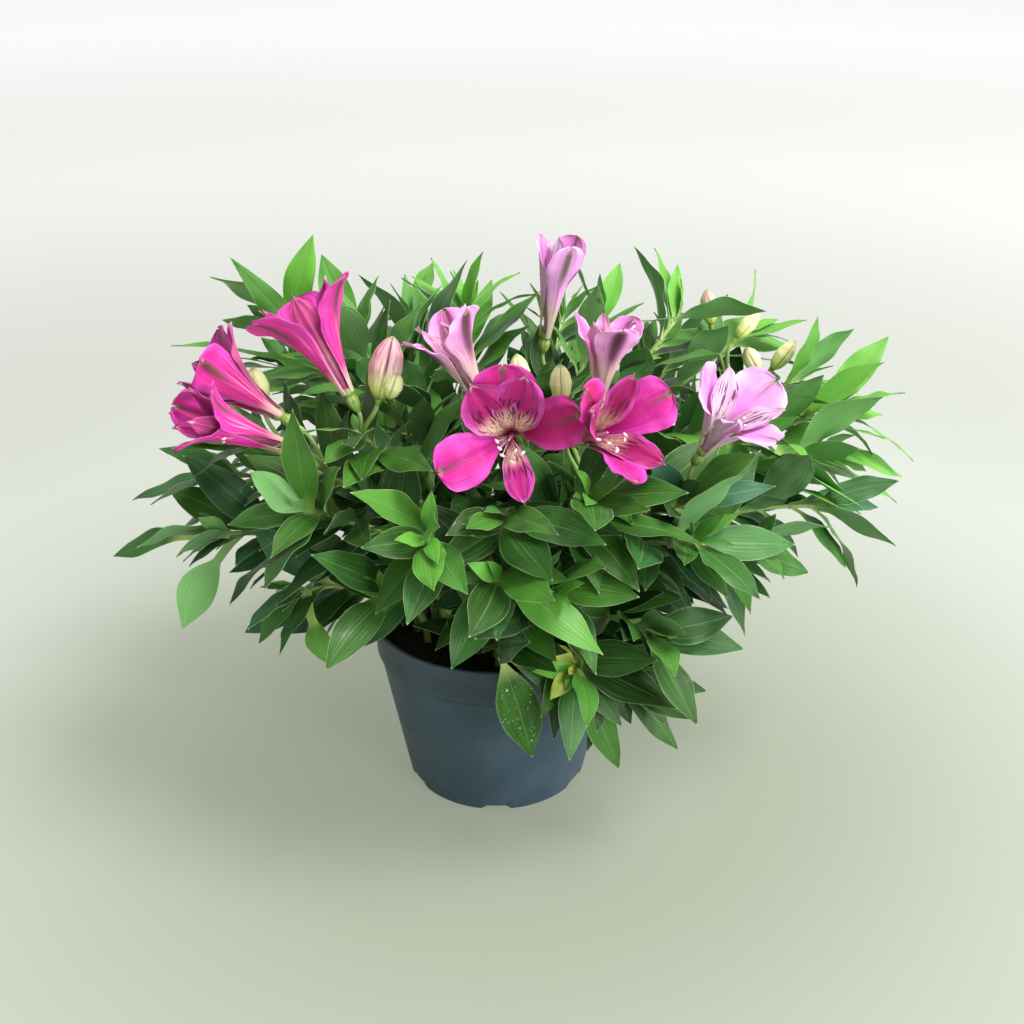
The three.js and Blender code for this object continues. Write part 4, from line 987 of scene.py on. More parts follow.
def leaf_rings(leaf, rows=LEAF_ROWS, columns=LEAF_COLUMNS):
    """A blade with a grooved midrib, a shallow fold, waved margins and a slight twist."""
    share = np.linspace(0, 1, rows)
    s = share + LEAF_ROWS_TO_MIDDLE * np.sin(2 * math.pi * share)
    across = np.linspace(-1, 1, columns)
    across = np.sign(across) * np.abs(across) ** LEAF_COLUMNS_TO_EDGE
    curve = leaf_curve(leaf)
    middle = bezier(curve, s)
    way = heading(curve, s)
    up = np.cross(leaf.side, way)
    twist = (vary(LEAF_TWIST_SPREAD) * DEGREE * (s - LEAF_TWIST_FROM))[:, None]
    side = leaf.side * np.cos(twist) + up * np.sin(twist)
    up = np.cross(side, way)
    half = leaf_half_width(leaf, s)
    fold = LEAF_FOLD + vary(LEAF_FOLD_SPREAD)
    cup = fold * half[:, None] * (1 - across**2)
    groove = -LEAF_GROOVE * np.exp(-((across / LEAF_GROOVE_WIDTH) ** 2)) * smooth(s, 0.1, 0.3)[:, None]
    wave = np.zeros((rows, columns))
    for hand in (-1, 1):
        ripple = np.sin(2 * math.pi * (looks.uniform(*LEAF_RUFFLE_WAVES) * s + looks.random()))
        height = LEAF_RUFFLE * (leaf.length / LEAF_COMMON_LENGTH) * looks.uniform(*LEAF_RUFFLE_RANGE)
        reach = height * smooth(s, 0.08, 0.35) * (1 - smooth(s, 0.75, 1))
        wave += (ripple * reach)[:, None] * np.clip(across * hand, 0, 1) ** LEAF_RUFFLE_POWER
    sag = (LEAF_SAG + vary(LEAF_SAG_SPREAD)) * leaf.length * smooth(s, 0.5, 1) ** 2
    rise = LEAF_RISE * smooth(s, 0, 0.1)[:, None] + cup + groove + wave + sag[:, None]
    stalk = LEAF_STALK_THICKNESS * (1 - smooth(s, 0.02, 0.16))
    thickness = mix(LEAF_THICKNESS, LEAF_EDGE_THICKNESS, np.abs(across) ** 2)[None] + stalk[:, None]
    sickle = vary(LEAF_SICKLE_SPREAD) * leaf.length * np.sin(math.pi * s)
    middle = middle + side * sickle[:, None]
    rings = sheet_rings(middle, side, up, half[:, None] * across[None], rise, thickness)
    along = np.interp(s, (0, leaf.stalk, 1), (0, LEAF_STALK_SHARE, 1))
    return rings, sheet_spots(along, across)


def leaf_nature(shoot, t, length):
    """Fresh, blue and aged, each from 0 to 1."""
    young = smooth(t, 0.9, 1.0) * mix(1.0, 0.5, smooth(length, 20, 45))
    fresh = FRESH_SHOOTS.get(shoot, 0.08) * mix(1, 1.3, young) + 0.4 * young + vary(0.18)
    blue = BLUE_SHOOTS.get(shoot, 0.12) + vary(0.25)
    return np.clip([fresh, blue, mix(0.05, 0.6, t) + looks.uniform(-0.3, 0.35)], 0, (1, 1, 0.9))


def draw_leaf(shape, leaf, nature, material, rows=LEAF_ROWS, columns=LEAF_COLUMNS):
    """A leaf of its shoot, fine unless it is given fewer rows and columns."""
    rings, spots = leaf_rings(leaf, rows, columns)
    shape.add(rings, spots, nature, material)


class Crown:
    """What already stands in the crown, so that a further leaf grows clear of it, stays inside
    the outline and doesn't hide a flower or the front of the pot from the camera."""

    def __init__(self, grown, blocks, in_view, eye):
        self.blades = []
        self.middles = np.zeros((0, 3))
        self.reaches = np.zeros(0)
        self.blocks = blocks
        self.eye = eye
        looks_at = in_view - eye
        self.view_far = np.linalg.norm(looks_at, axis=1)
        self.view_ways = looks_at / self.view_far[:, None]
        tips = np.array([leaf.start + leaf.way * leaf.length for leaf in grown]) - CROWN_CENTRE
        self.tip_reach = np.linalg.norm(tips, axis=1)
        self.tip_ways = tips / self.tip_reach[:, None]
        for leaf in grown:
            self.keep(leaf)

    def blade(self, leaf, first=BLADE_FROM):
        """A coarse blade, and its points."""
        s = np.linspace(first, 1, BLADE_ROWS)
        curve = leaf_curve(leaf)
        middle = bezier(curve, s)
        up = np.cross(leaf.side, heading(curve, s))
        half = leaf_half_width(leaf, s) + BLADE_MARGIN
        points = (
            middle[:, None] + up[:, None] * LEAF_RISE
            + leaf.side * half[:, None, None] * np.array([-1, 0, 1])[None, :, None]
        ).reshape(-1, 3)
        corners = [3 * i + j for i in range(BLADE_ROWS - 1) for j in (0, 1)]
        faces = [(corner, corner + 1, corner + 4, corner + 3) for corner in corners]
        return BVHTree.FromPolygons(points.tolist(), faces), points

    def keep(self, leaf):
        """Takes a leaf into what stands there."""
        tree, points = self.blade(leaf)
        middle = points.mean(axis=0)
        self.blades.append(tree)
        self.middles = np.vstack([self.middles, middle])
        self.reaches = np.append(self.reaches, np.linalg.norm(points - middle, axis=1).max())

    def has_room(self, leaf, first, outline_share):
        """Whether a leaf, from its first share on, crosses nothing and keeps within a share of
        the outline."""
        tree, points = self.blade(leaf, first)
        outer = points[-3:].mean(axis=0) - CROWN_CENTRE
        reach = np.linalg.norm(outer)
        beside = self.tip_ways @ (outer / reach) > math.cos(OUTLINE_ANGLE * DEGREE)
        limit = self.tip_reach[beside].max() if beside.any() else OUTLINE_ELSEWHERE
        if reach > limit * outline_share:
            return False
        over_pot = np.hypot(points[:, 0], points[:, 1]) < POT_RIM_RADIUS + RIM_CLEARANCE
        if (points[:, 2] < SOIL_TOP + SOIL_CLEARANCE)[over_pot].any():
            return False
        if points[:, 2].min() < LOWEST_FILLER:
            return False
        ways = points - self.eye
        far = np.linalg.norm(ways, axis=1)
        in_line = (ways / far[:, None]) @ self.view_ways.T > math.cos(SIGHT_ANGLE * DEGREE)
        if (in_line & (far[:, None] < self.view_far[None] + SIGHT_DEPTH)).any():
            return False
        if any(tree.overlap(block) for block in self.blocks):
            return False
        middle = points.mean(axis=0)
        size = np.linalg.norm(points - middle, axis=1).max()
        near = np.nonzero(np.linalg.norm(self.middles - middle, axis=1) < self.reaches + size)[0]
        return not any(tree.overlap(self.blades[i]) for i in near)


def varied_leaf(stem, t, way, length, rule):
    """A leaf whose width, arch and roll vary by its rule."""
    width = length * (rule["slimness"] + vary(rule["slimness_spread"]))
    arch = rule["arch"] + vary(rule["arch_spread"])
    return make_leaf(stem, t, way, length, width, arch, vary(rule["roll_spread"]) * DEGREE)


def inner_leaf(stem, t):
    """A leaf lower on the stem, shorter and flatter than those of the leaf rule."""
    rule = INNER_LEAF
    azimuth = looks.uniform(0, 2 * math.pi)
    away = (mix(*rule["away"], t) + vary(rule["away_spread"])) * DEGREE
    tangent = heading(stem.curve, t)
    way = unit(
        tangent * math.cos(away) + radial_way(stem, tangent, azimuth) * math.sin(away)
        + unit(bezier(stem.curve, t) - CROWN_CENTRE) * rule["outwards"]
        - UP * (rule["droop"] + vary(rule["droop_spread"]))
    )
    length = mix(*rule["length"], t) * (1 + vary(rule["length_spread"]))
    return varied_leaf(stem, t, way, length, rule)


def tip_leaf(stem, t, azimuth, length):
    """A small young leaf that stands up round the tip of a shoot."""
    rule = TIP_LEAF
    away = looks.uniform(*rule["away"]) * DEGREE
    tangent = heading(stem.curve, t)
    radial = radial_way(stem, tangent, azimuth)
    way = unit(tangent * math.cos(away) + radial * math.sin(away) + UP * rule["upwards"])
    return varied_leaf(stem, t, way, length, rule)


def fill_crown(crown, stems_of_crown):
    """Leaves in the gaps of the crown: (shoot, t, leaf) for each that found room."""
    for name, stem in stems_of_crown:
        per_stem = next(count for part, count in FILLERS.items() if part in name)
        for i in range(per_stem):
            for _ in range(FILL_TRIES):
                t = mix(*FILL_SPAN, (i + looks.random()) / per_stem)
                leaf = inner_leaf(stem, t)
                if crown.has_room(leaf, BLADE_FROM, FILL_OUTLINE):
                    crown.keep(leaf)
                    yield name, t, leaf
                    break


def tuft(crown, name, stem):
    """Young leaves round the tip of a shoot, the inner ones shorter."""
    azimuth = looks.uniform(0, 2 * math.pi)
    count, longest = next(size for part, size in TUFTS.items() if part in name)
    for i in range(count):
        azimuth += GOLDEN_ANGLE
        length = longest * mix(1, TUFT_SHORTEST, i / count) * (1 + vary(TUFT_LENGTH_SPREAD))
        leaf = tip_leaf(stem, mix(*TUFT_SPAN, i / count), azimuth, length)
        if crown.has_room(leaf, TUFT_BLADE_FROM, TUFT_OUTLINE):
            crown.keep(leaf)
            yield name, 1.0, leaf


# Blooms

def tepal_rings(bloom, kind, around, open_tip, recurve, wide):
    """One tepal. It leaves the bloom's axis at the first opening angle and bends out evenly
    to the second, and its edges curl in round the axis as far as the bloom is closed."""
    base, axis, top, right = bloom["frame"]
    outwards = top * math.cos(around * DEGREE) + right * math.sin(around * DEGREE)
    side = np.cross(outwards, axis)
    length = bloom["length"] * kind["length"]
    s = 1 - (1 - np.linspace(0, 1, TEPAL_ROWS)) ** TEPAL_ROWS_TO_TIP
    across = np.linspace(-1, 1, TEPAL_COLUMNS)
    bent_out = (recurve + vary(TEPAL_RECURVE_SPREAD)) * smooth(s, 0.5, 1) ** 1.5
    angle = (mix(bloom["open"][0], open_tip, s) + bent_out) * DEGREE
    step = np.diff(s) * length
    rises = (np.cos(angle[1:]) + np.cos(angle[:-1])) / 2 * step
    spreads = (np.sin(angle[1:]) + np.sin(angle[:-1])) / 2 * step
    along = np.concatenate([[0], np.cumsum(rises)])
    out = np.concatenate([[0], np.cumsum(spreads)]) + kind["ring"]
    middle = base + axis * (TEPAL_SEAT + along)[:, None] + outwards * out[:, None]
    way = axis * np.cos(angle)[:, None] + outwards * np.sin(angle)[:, None]
    face = axis * np.sin(angle)[:, None] - outwards * np.cos(angle)[:, None]
    half = 0.5 * kind["width"] * wide * bloom["width"] * np.interp(s, kind["along"], kind["share"])
    width_wave = np.sin(2 * math.pi * (TEPAL_WIDTH_WAVES * s + looks.random()))
    half = half * (1 + TEPAL_WIDTH_WAVE * width_wave * smooth(s, 0.3, 0.6))
    bend = np.cos(angle) / out * (1 - TEPAL_FLATTENS * smooth(s, 0.45, 0.85))
    bend = np.where(np.abs(bend) < TEPAL_LEAST_BEND, TEPAL_LEAST_BEND, bend)
    wrap = np.minimum(half * bend, TEPAL_MOST_WRAP)[:, None] * across
    reach = np.sin(wrap) / bend[:, None]
    curl = (1 - np.cos(wrap)) / bend[:, None]
    late = smooth(s, 0.35, 0.8)
    pleats = np.sin(across * looks.uniform(*TEPAL_PLEATS) + looks.uniform(0, 6))
    ruffle = TEPAL_PLEAT * pleats * late[:, None]
    for hand in (-1, 1):
        ripple = np.sin(2 * math.pi * (looks.uniform(*TEPAL_RUFFLE_WAVES) * s + looks.random()))
        fine = np.sin(2 * math.pi * (looks.uniform(*TEPAL_FINE_WAVES) * s + looks.random()))
        ripple += TEPAL_FINE_RUFFLE * fine
        ruffle += (ripple * late * TEPAL_RUFFLE)[:, None] * np.clip(across * hand, 0, 1) ** 2
    keel = -TEPAL_KEEL * np.exp(-((across / TEPAL_KEEL_WIDTH) ** 2)) * smooth(s, 0.1, 0.4)[:, None]
    rise = curl + ruffle + keel
    thickness = np.broadcast_to(mix(TEPAL_THICKNESS, TEPAL_EDGE_THICKNESS, across**2), rise.shape)
    rings = sheet_rings(middle, np.tile(side, (TEPAL_ROWS, 1)), face, reach, rise, thickness)
    rim = TEPAL_RIM * np.sin(across * looks.uniform(*TEPAL_RIM_WAVES) + looks.uniform(0, 6))
    notch = -kind["notch"] * np.exp(-((across / TEPAL_NOTCH_WIDTH) ** 2))
    longer = (notch + rim) * smooth(s, 0.86, 1)[:, None]
    rings += way[:, None] * np.concatenate([longer, longer[:, ::-1]], axis=1)[..., None]
    return rings, sheet_spots(s, across)


def draw_stamen(shape, bloom, index, materials):
    """A thread that droops a little from the throat, with its anther on the end."""
    base, axis, top, right = bloom["frame"]
    angle = (STAMEN_FIRST + STAMEN_PITCH * index + vary(STAMEN_PITCH_SPREAD)) * DEGREE
    lean = top * math.cos(angle) + right * math.sin(angle)
    share = STAMEN_REACH - STAMEN_REACH_STEP * (index % 3)
    reach = bloom["length"] * share * (1 + vary(STAMEN_REACH_SPREAD))
    droop = STAMEN_DROOP + vary(STAMEN_DROOP_SPREAD)
    s = np.linspace(0, 1, STAMEN_ROWS)
    centres = base + axis * (STAMEN_BASE + reach * s)[:, None] + lean * (droop * s * s)[:, None]
    ways = unit(axis * reach + lean * (2 * droop * s)[:, None])
    nature = (0, looks.random(), 0)
    rings = round_rings(centres, ways, top, mix(*THREAD_RADII, s), STAMEN_SIDES)
    shape.add(rings, round_spots(STAMEN_ROWS, STAMEN_SIDES, s), nature, materials["thread"])
    lie = unit(ways[-1] * vary(ANTHER_TILT) + square_to(ways[-1], place(looks.normal(size=3))))
    turns = np.linspace(0.06, 0.94, ANTHER_ROWS) * math.pi
    middle = centres[-1] + ways[-1] * ANTHER_SEAT
    body = middle - lie * (ANTHER_HALF_LENGTH * np.cos(turns))[:, None]
    lies = np.tile(lie, (ANTHER_ROWS, 1))
    rings = round_rings(body, lies, square_to(lie, ways[-1]), ANTHER_RADIUS * np.sin(turns), ANTHER_SIDES)
    shape.add(rings, round_spots(ANTHER_ROWS, ANTHER_SIDES), nature, materials["anther"])


def draw_bloom(bloom, materials):
    """A bloom as a piece of its own. Returns it with its base and its axis."""
    base = place(bloom["base"])
    axis = unit(place(bloom["look"]) - base)
    top = square_to(axis, place(bloom["top"]))
    bloom = {**bloom, "frame": (base, axis, top, np.cross(top, axis))}
    shape = Shape()
    for (heights, radii), material in ((FLOWER_CUP, "ovary"), (FLOWER_STYLE, "thread")):
        rows = len(heights)
        centres = base + axis * np.array(heights)[:, None]
        rings = round_rings(centres, np.tile(axis, (rows, 1)), top, radii, FLOWER_SIDES)
        shape.add(rings, round_spots(rows, FLOWER_SIDES), (0, 0.5, 0), materials[material])
    for label, kind, whorl in (("inner", INNER_TEPAL, 1), ("outer", OUTER_TEPAL, 0)):
        _, *open_tips = bloom["open"]
        recurve = bloom["recurve"][whorl]
        changes = bloom.get("changes", {}).get(label, (UNCHANGED_TEPAL,) * 3)
        for around, (turn, lift, wide, deep) in zip(bloom[label], changes):
            open_tip = open_tips[whorl] + lift
            rings, spots = tepal_rings(bloom, kind, around + turn, open_tip, recurve, wide)
            shape.add(rings, spots, (deep, looks.random(), 0), materials[label])
    for i in range(bloom["stamens"]):
        draw_stamen(shape, bloom, i, materials)
    return shape.build(bloom["name"] + "_fine"), base, axis


def draw_bud(shape, base, tip, radius, pink, material):
    """Three outer tepals that lap each other in a ribbed, pointed egg."""
    axis = unit(tip - base)
    length = np.linalg.norm(tip - base)
    s = np.linspace(0, 1, BUD_ROWS)
    outline = np.interp(s, *BUD_OUTLINE)
    angles = np.arange(BUD_SIDES) * 2 * math.pi / BUD_SIDES
    lap = (angles * BUD_LAPS / (2 * math.pi)) % 1
    seam = -BUD_SEAM * np.exp(-((lap / BUD_SEAM_WIDTH) ** 2)) + BUD_BULGE * np.sin(lap * math.pi)
    ribs = BUD_RIB * np.cos(angles * BUD_RIBS)
    radii = radius * outline[:, None] * (1 + (seam + ribs)[None] * smooth(s, 0.0, 0.25)[:, None])
    side = square_to(axis, np.array([0, -1.0, 0]))
    centres = base + axis * (s * length)[:, None]
    rings = round_rings(centres, np.tile(axis, (BUD_ROWS, 1)), side, radii, BUD_SIDES)
    spots = round_spots(BUD_ROWS, BUD_SIDES)
    spots[..., 0] = lap
    shape.add(rings, spots, (pink, looks.random(), 0), material)


# Pot and soil

def turned_rings(profile, segments):
    """Rings of a turned shell: one for each corner of its profile of radius and height."""
    angles = np.arange(segments) * 2 * math.pi / segments
    profile = np.array(profile, dtype=float)
    rings = np.zeros((len(profile), segments, 3))
    rings[..., 0] = profile[:, :1] * np.sin(angles)
    rings[..., 1] = -profile[:, :1] * np.cos(angles)
    rings[..., 2] = profile[:, 1:]
    return rings


def draw_pot(material):
    """A thin moulded shell with a rolled lip, a band below it, and a notched foot ring."""
    wall_top = POT_HEIGHT - POT_BAND_HEIGHT
    flange = POT_HEIGHT - POT_FLANGE_HEIGHT
    band = POT_RIM_RADIUS - POT_BAND_FLARE - POT_NECK
    step = band - POT_BAND_STEP
    ring_inside = POT_FOOT_RADIUS - FOOT_RING_WIDTH
    floor_inside = POT_FOOT_RADIUS - POT_WALL
    floor_top = POT_FLOOR_RAISE + POT_FLOOR_THICKNESS
    lip_out, lip_up = POT_LIP_ROUND
    wall = [(mix(POT_FOOT_RADIUS, step, t), mix(1.2, wall_top - 1.6, t)) for t in np.linspace(0, 1, 12)]
    lip = [
        (POT_RIM_RADIUS - 0.9 + lip_out * math.sin(a), POT_HEIGHT - 1.1 + lip_up * math.cos(a))
        for a in np.linspace(1.75, -1.45, 11)
    ]
    inside = [
        (mix(step - POT_WALL, floor_inside, t), mix(wall_top - 2, floor_top + 1, t))
        for t in np.linspace(0, 1, 6)
    ]
    # Radius and height of each corner: under the floor, up the wall, over the lip and back inside.
    profile = [
        (POT_BOSS_RADIUS, 0), (POT_BOSS_RADIUS + 1, POT_FLOOR_RAISE), (20, POT_FLOOR_RAISE),
        (ring_inside - 1, POT_FLOOR_RAISE), (ring_inside, 0.2), (ring_inside + 0.3, 0),
        (POT_FOOT_RADIUS - 1.1, 0), (POT_FOOT_RADIUS - 0.35, 0.35), *wall,
        (step + 0.3, wall_top - 1.1), (band - 0.4, wall_top - 0.6), (band, wall_top),
        (band, wall_top + 0.8), (band + 0.1, flange), (band + 0.4, flange + 1.6),
        (POT_RIM_RADIUS - 0.9, flange + 2.4), (POT_RIM_RADIUS - 0.2, flange + 3.2),
        (POT_RIM_RADIUS, flange + 4.5), *lip, (POT_RIM_RADIUS - 2.0, POT_HEIGHT - 2.4),
        (band - POT_WALL, POT_HEIGHT - 8), (band - POT_WALL, wall_top + 1), *inside,
        (floor_inside - 1, floor_top), (POT_BOSS_RADIUS, floor_top),
    ]
    rings = turned_rings(profile, POT_SEGMENTS)
    angles = np.arange(POT_SEGMENTS) * 360 / POT_SEGMENTS
    pitch = 360 / FOOT_NOTCHES
    from_notch = np.abs((angles + pitch / 2) % pitch - pitch / 2)
    half_notch = FOOT_NOTCH_WIDTH / 2 / POT_FOOT_RADIUS / DEGREE
    lift = (POT_FLOOR_RAISE - 0.2) * (1 - smooth(from_notch, half_notch - NOTCH_CORNER, half_notch))
    radius = np.hypot(rings[..., 0], rings[..., 1])
    foot = (radius > ring_inside - 0.5) & (rings[..., 2] < POT_FLOOR_RAISE)
    rings[..., 2] = np.where(foot, np.maximum(rings[..., 2], lift[None]), rings[..., 2])
    shape = Shape()
    shape.add(rings, round_spots(len(profile), POT_SEGMENTS), PLAIN, material)
    return shape.build("pot_fine")


def soil_height(x, y):
    """The height of the soil in its lumps and crumbs."""
    lump = noise.fractal(Vector((x, y, 3)) * SOIL_LUMPS, 0.6, 2.1, 5)
    crumb = noise.cell(Vector((x, y, 9)) * SOIL_CRUMBS)
    return SOIL_TOP + SOIL_LUMP * lump + SOIL_CRUMB * crumb


def draw_soil(material):
    """Peat to a little below the rim, with a crumbled top that sinks towards the wall."""
    edge = POT_RIM_RADIUS - POT_BAND_FLARE - POT_NECK - POT_BAND_STEP - POT_WALL - 0.4
    floor = POT_FLOOR_RAISE + POT_FLOOR_THICKNESS + FIT_GAP
    outline = [(POT_FOOT_RADIUS - POT_WALL - 0.5, floor), (edge - 0.2, POT_HEIGHT - POT_BAND_HEIGHT - 2)]
    outline += [(edge * share, SOIL_TOP) for share in np.linspace(1, 0.01, SOIL_ROWS)]
    rings = turned_rings(outline, SOIL_SEGMENTS)
    for ring in rings[2:]:
        for point in ring:
            sunk = smooth(math.hypot(point[0], point[1]), edge - SOIL_EDGE_WIDTH, edge)
            point[2] = soil_height(point[0], point[1]) - SOIL_EDGE_DROP * sunk
    shape = Shape()
    shape.add(rings, round_spots(len(rings), SOIL_SEGMENTS), PLAIN, material)
    return shape.build("soil_fine")


# Materials

def linear(colour):
    """A colour written as sRGB hex, as the linear RGBA that a shader takes."""
    parts = [int(colour[i:i + 2], 16) / 255 for i in (1, 3, 5)]
    return [c / 12.92 if c <= 0.04045 else ((c + 0.055) / 1.055) ** 2.4 for c in parts] + [1]


def add(tree, kind, links, out=0, **settings):
    """Adds a shader node with its settings. Links go by socket: to another node's output, or to
    a value."""
    made = tree.nodes.new("ShaderNode" + kind)
    for name, value in settings.items():
        setattr(made, name, value)
    for socket, value in links.items():
        if isinstance(value, bpy.types.NodeSocket):
            tree.links.new(value, made.inputs[socket])
        else:
            made.inputs[socket].default_value = linear(value) if isinstance(value, str) else value
    return made.outputs[out]


def start_material(name, roughness, specular=0.5):
    """A new material, with its tree and shader."""
    material = bpy.data.materials.new(name)
    material.use_nodes = True
    tree = material.node_tree
    shader = tree.nodes["Principled BSDF"]
    shader.inputs["Roughness"].default_value = roughness
    shader.inputs["Specular IOR Level"].default_value = specular
    return material, tree, shader


def read_parts(tree, label):
    """The three parts of a vertex attribute."""
    vector = add(tree, "Attribute", {}, out=1, attribute_name=label)
    split = add(tree, "SeparateXYZ", {0: vector}).node
    return split.outputs[0], split.outputs[1], split.outputs[2]


def where(tree, *ramps):
    """1 where all ramps hold. A ramp is a value and where it starts and is full, and it falls
    if it starts above where it is full."""
    whole = None
    for value, start, full in ramps:
        links = {0: value, 1: start, 2: full, 3: 0.0, 4: 1.0}
        ramp = add(tree, "MapRange", links, interpolation_type="SMOOTHSTEP")
        whole = ramp if whole is None else add(tree, "Math", {0: whole, 1: ramp}, operation="MULTIPLY")
    return whole


def paint(tree, colour, *coats):
    """Lays coats over a colour. A coat is a colour, its mask and how strong it is."""
    for over, mask, strength in coats:
        share = add(tree, "Math", {0: mask, 1: strength}, operation="MULTIPLY")
        colour = add(tree, "Mix", {0: share, 6: colour, 7: over}, out=2, data_type="RGBA")
    return colour


def stretched_noise(tree, a, b, c, scales, detail=2.0):
    """Noise over three values, each with its own scale."""
    vector = add(tree, "CombineXYZ", {
        i: add(tree, "Math", {0: value, 1: scale}, operation="MULTIPLY")
        for i, (value, scale) in enumerate(zip((a, b, c), scales))
    })
    return add(tree, "TexNoise", {"Vector": vector, "Scale": 1.0, "Detail": detail})


def surface_noise(tree, size, detail=3.0):
    """Noise whose lumps are about so many millimetres across."""
    where_it_is = add(tree, "TexCoord", {}, out=3)
    return add(tree, "TexNoise", {"Vector": where_it_is, "Scale": 1 / (size * MM), "Detail": detail})


def dent(tree, shader, height, depth):
    """Relief of so many millimetres."""
    bump = add(tree, "Bump", {"Strength": 1.0, "Distance": depth * MM, "Height": height})
    tree.links.new(bump, shader.inputs["Normal"])


def leaf_material():
    """Living leaf: waxy, with parallel veins that pleat it, a pale thin margin and a duller
    underside. Young leaves are yellower, some are blue with wax, and a few age to yellow."""
    veins_in_half, fine_veins_in_half = 4.5, 12.0
    material, tree, shader = start_material("living_leaf_satin", 0.4, 0.28)
    across, along, face = read_parts(tree, "spot")
    fresh, blue, chance = read_parts(tree, "nature")
    edge = add(tree, "Math", {0: across}, operation="ABSOLUTE")
    clouds = surface_noise(tree, 9)
    streaks = stretched_noise(tree, across, along, chance, (22, 1.6, 40), 3.0)
    pleats = add(tree, "Math", {0: across, 1: veins_in_half}, operation="MULTIPLY")
    vein = add(tree, "Math", {0: pleats, 1: 0.5}, operation="PINGPONG")
    fine = add(tree, "Math", {0: across, 1: fine_veins_in_half}, operation="MULTIPLY")
    fine_vein = add(tree, "Math", {0: fine, 1: 0.5}, operation="PINGPONG")
    on_vein = where(tree, (vein, 0.1, 0.02), (along, 0.04, 0.2))
    on_fine = where(tree, (fine_vein, 0.25, 0.05), (along, 0.1, 0.3))
    specks = surface_noise(tree, 1.3)
    under = (face, 0.6, 0.4)
    colour = paint(
        tree, "#0a2805",
        ("#2b6312", where(tree, (chance, 0.1, 0.95)), 0.85),
        ("#0a250a", where(tree, (clouds, 0.48, 0.68)), 0.5),
        ("#265e4d", where(tree, (blue, 0.1, 0.9)), 0.75),
        ("#6db63f", where(tree, (fresh, 0.1, 0.95)), 0.9),
        ("#5a9540", where(tree, (streaks, 0.5, 0.72)), 0.42),
        ("#7fae5e", on_fine, 0.2),
        ("#79a957", on_vein, 0.08),
        ("#93b96a", where(tree, (edge, 0.06, 0.01), (along, 0.05, 0.2)), 0.22),
        ("#a9c56c", where(tree, (along, 0.26, 0.04)), 0.85),
        ("#c3d8a0", where(tree, (edge, 0.965, 0.992)), 0.52),
        ("#d6d49a", where(tree, (along, 0.965, 0.995)), 0.6),
        ("#84b777", where(tree, under), 0.6),
        ("#5c8f55", where(tree, under, (vein, 0.14, 0.02), (along, 0.05, 0.2)), 0.45),
        ("#e4ead9", where(tree, (specks, 0.67, 0.7), (chance, 0.92, 0.94), (chance, 0.97, 0.96)), 0.85),
        ("#cdd65a", where(tree, (chance, 0.965, 0.985), (clouds, 0.25, 0.5)), 0.85),
        ("#8d7a3c", where(tree, (chance, 0.965, 0.985), (specks, 0.6, 0.7)), 0.35),
    )
    tree.links.new(colour, shader.inputs["Base Color"])
    roughness = add(tree, "MapRange", {0: clouds, 1: 0.3, 2: 0.7, 3: 0.33, 4: 0.5})
    tree.links.new(roughness, shader.inputs["Roughness"])
    relief = add(tree, "Math", {0: vein, 1: streaks}, operation="ADD")
    dent(tree, shader, relief, 0.12)
    return material


def stem_material():
    """Green stem: smooth and juicy, pale, with faint lengthwise streaks."""
    material, tree, shader = start_material("green_stem_satin", 0.42, 0.45)
    around, along, _ = read_parts(tree, "spot")
    streaks = stretched_noise(tree, around, along, along, (14, 3, 1))
    blotches = surface_noise(tree, 14)
    colour = paint(
        tree, "#8fb25c",
        ("#b5cc84", where(tree, (along, 0.5, 1.0)), 0.6),
        ("#6d9444", where(tree, (streaks, 0.45, 0.7)), 0.5),
        ("#a7a268", where(tree, (blotches, 0.55, 0.75)), 0.35),
        ("#7d7f4c", where(tree, (along, 0.25, 0.0)), 0.6),
    )
    tree.links.new(colour, shader.inputs["Base Color"])
    dent(tree, shader, streaks, 0.12)
    return material


def ovary_material():
    """Ovary and flower base: fleshy and green, mottled darker, with a brown tinge at the top."""
    material, tree, shader = start_material("fleshy_ovary_satin", 0.4, 0.45)
    _, along, _ = read_parts(tree, "spot")
    mottle = surface_noise(tree, 2.5)
    colour = paint(
        tree, "#7fa046",
        ("#a9bf6d", where(tree, (along, 0.2, 0.9)), 0.5),
        ("#4e7030", where(tree, (mottle, 0.5, 0.7)), 0.5),
        ("#8c5a4a", where(tree, (mottle, 0.6, 0.8), (along, 0.6, 1.0)), 0.45),
    )
    tree.links.new(colour, shader.inputs["Base Color"])
    dent(tree, shader, mottle, 0.1)
    return material


def petal_shine(tree, shader, across, along, chance):
    """Fine veins along a tepal, in relief, and the soft bloom of its skin."""
    wrinkles = stretched_noise(tree, across, along, chance, (26, 3, 30), 3.0)
    streaks = stretched_noise(tree, across, along, chance, (9, 1.3, 50), 2.0)
    relief = add(tree, "Math", {0: wrinkles, 1: streaks}, operation="ADD")
    dent(tree, shader, relief, 0.32)
    shader.inputs["Sheen Weight"].default_value = 0.06
    shader.inputs["Sheen Roughness"].default_value = 0.4
    return wrinkles, streaks


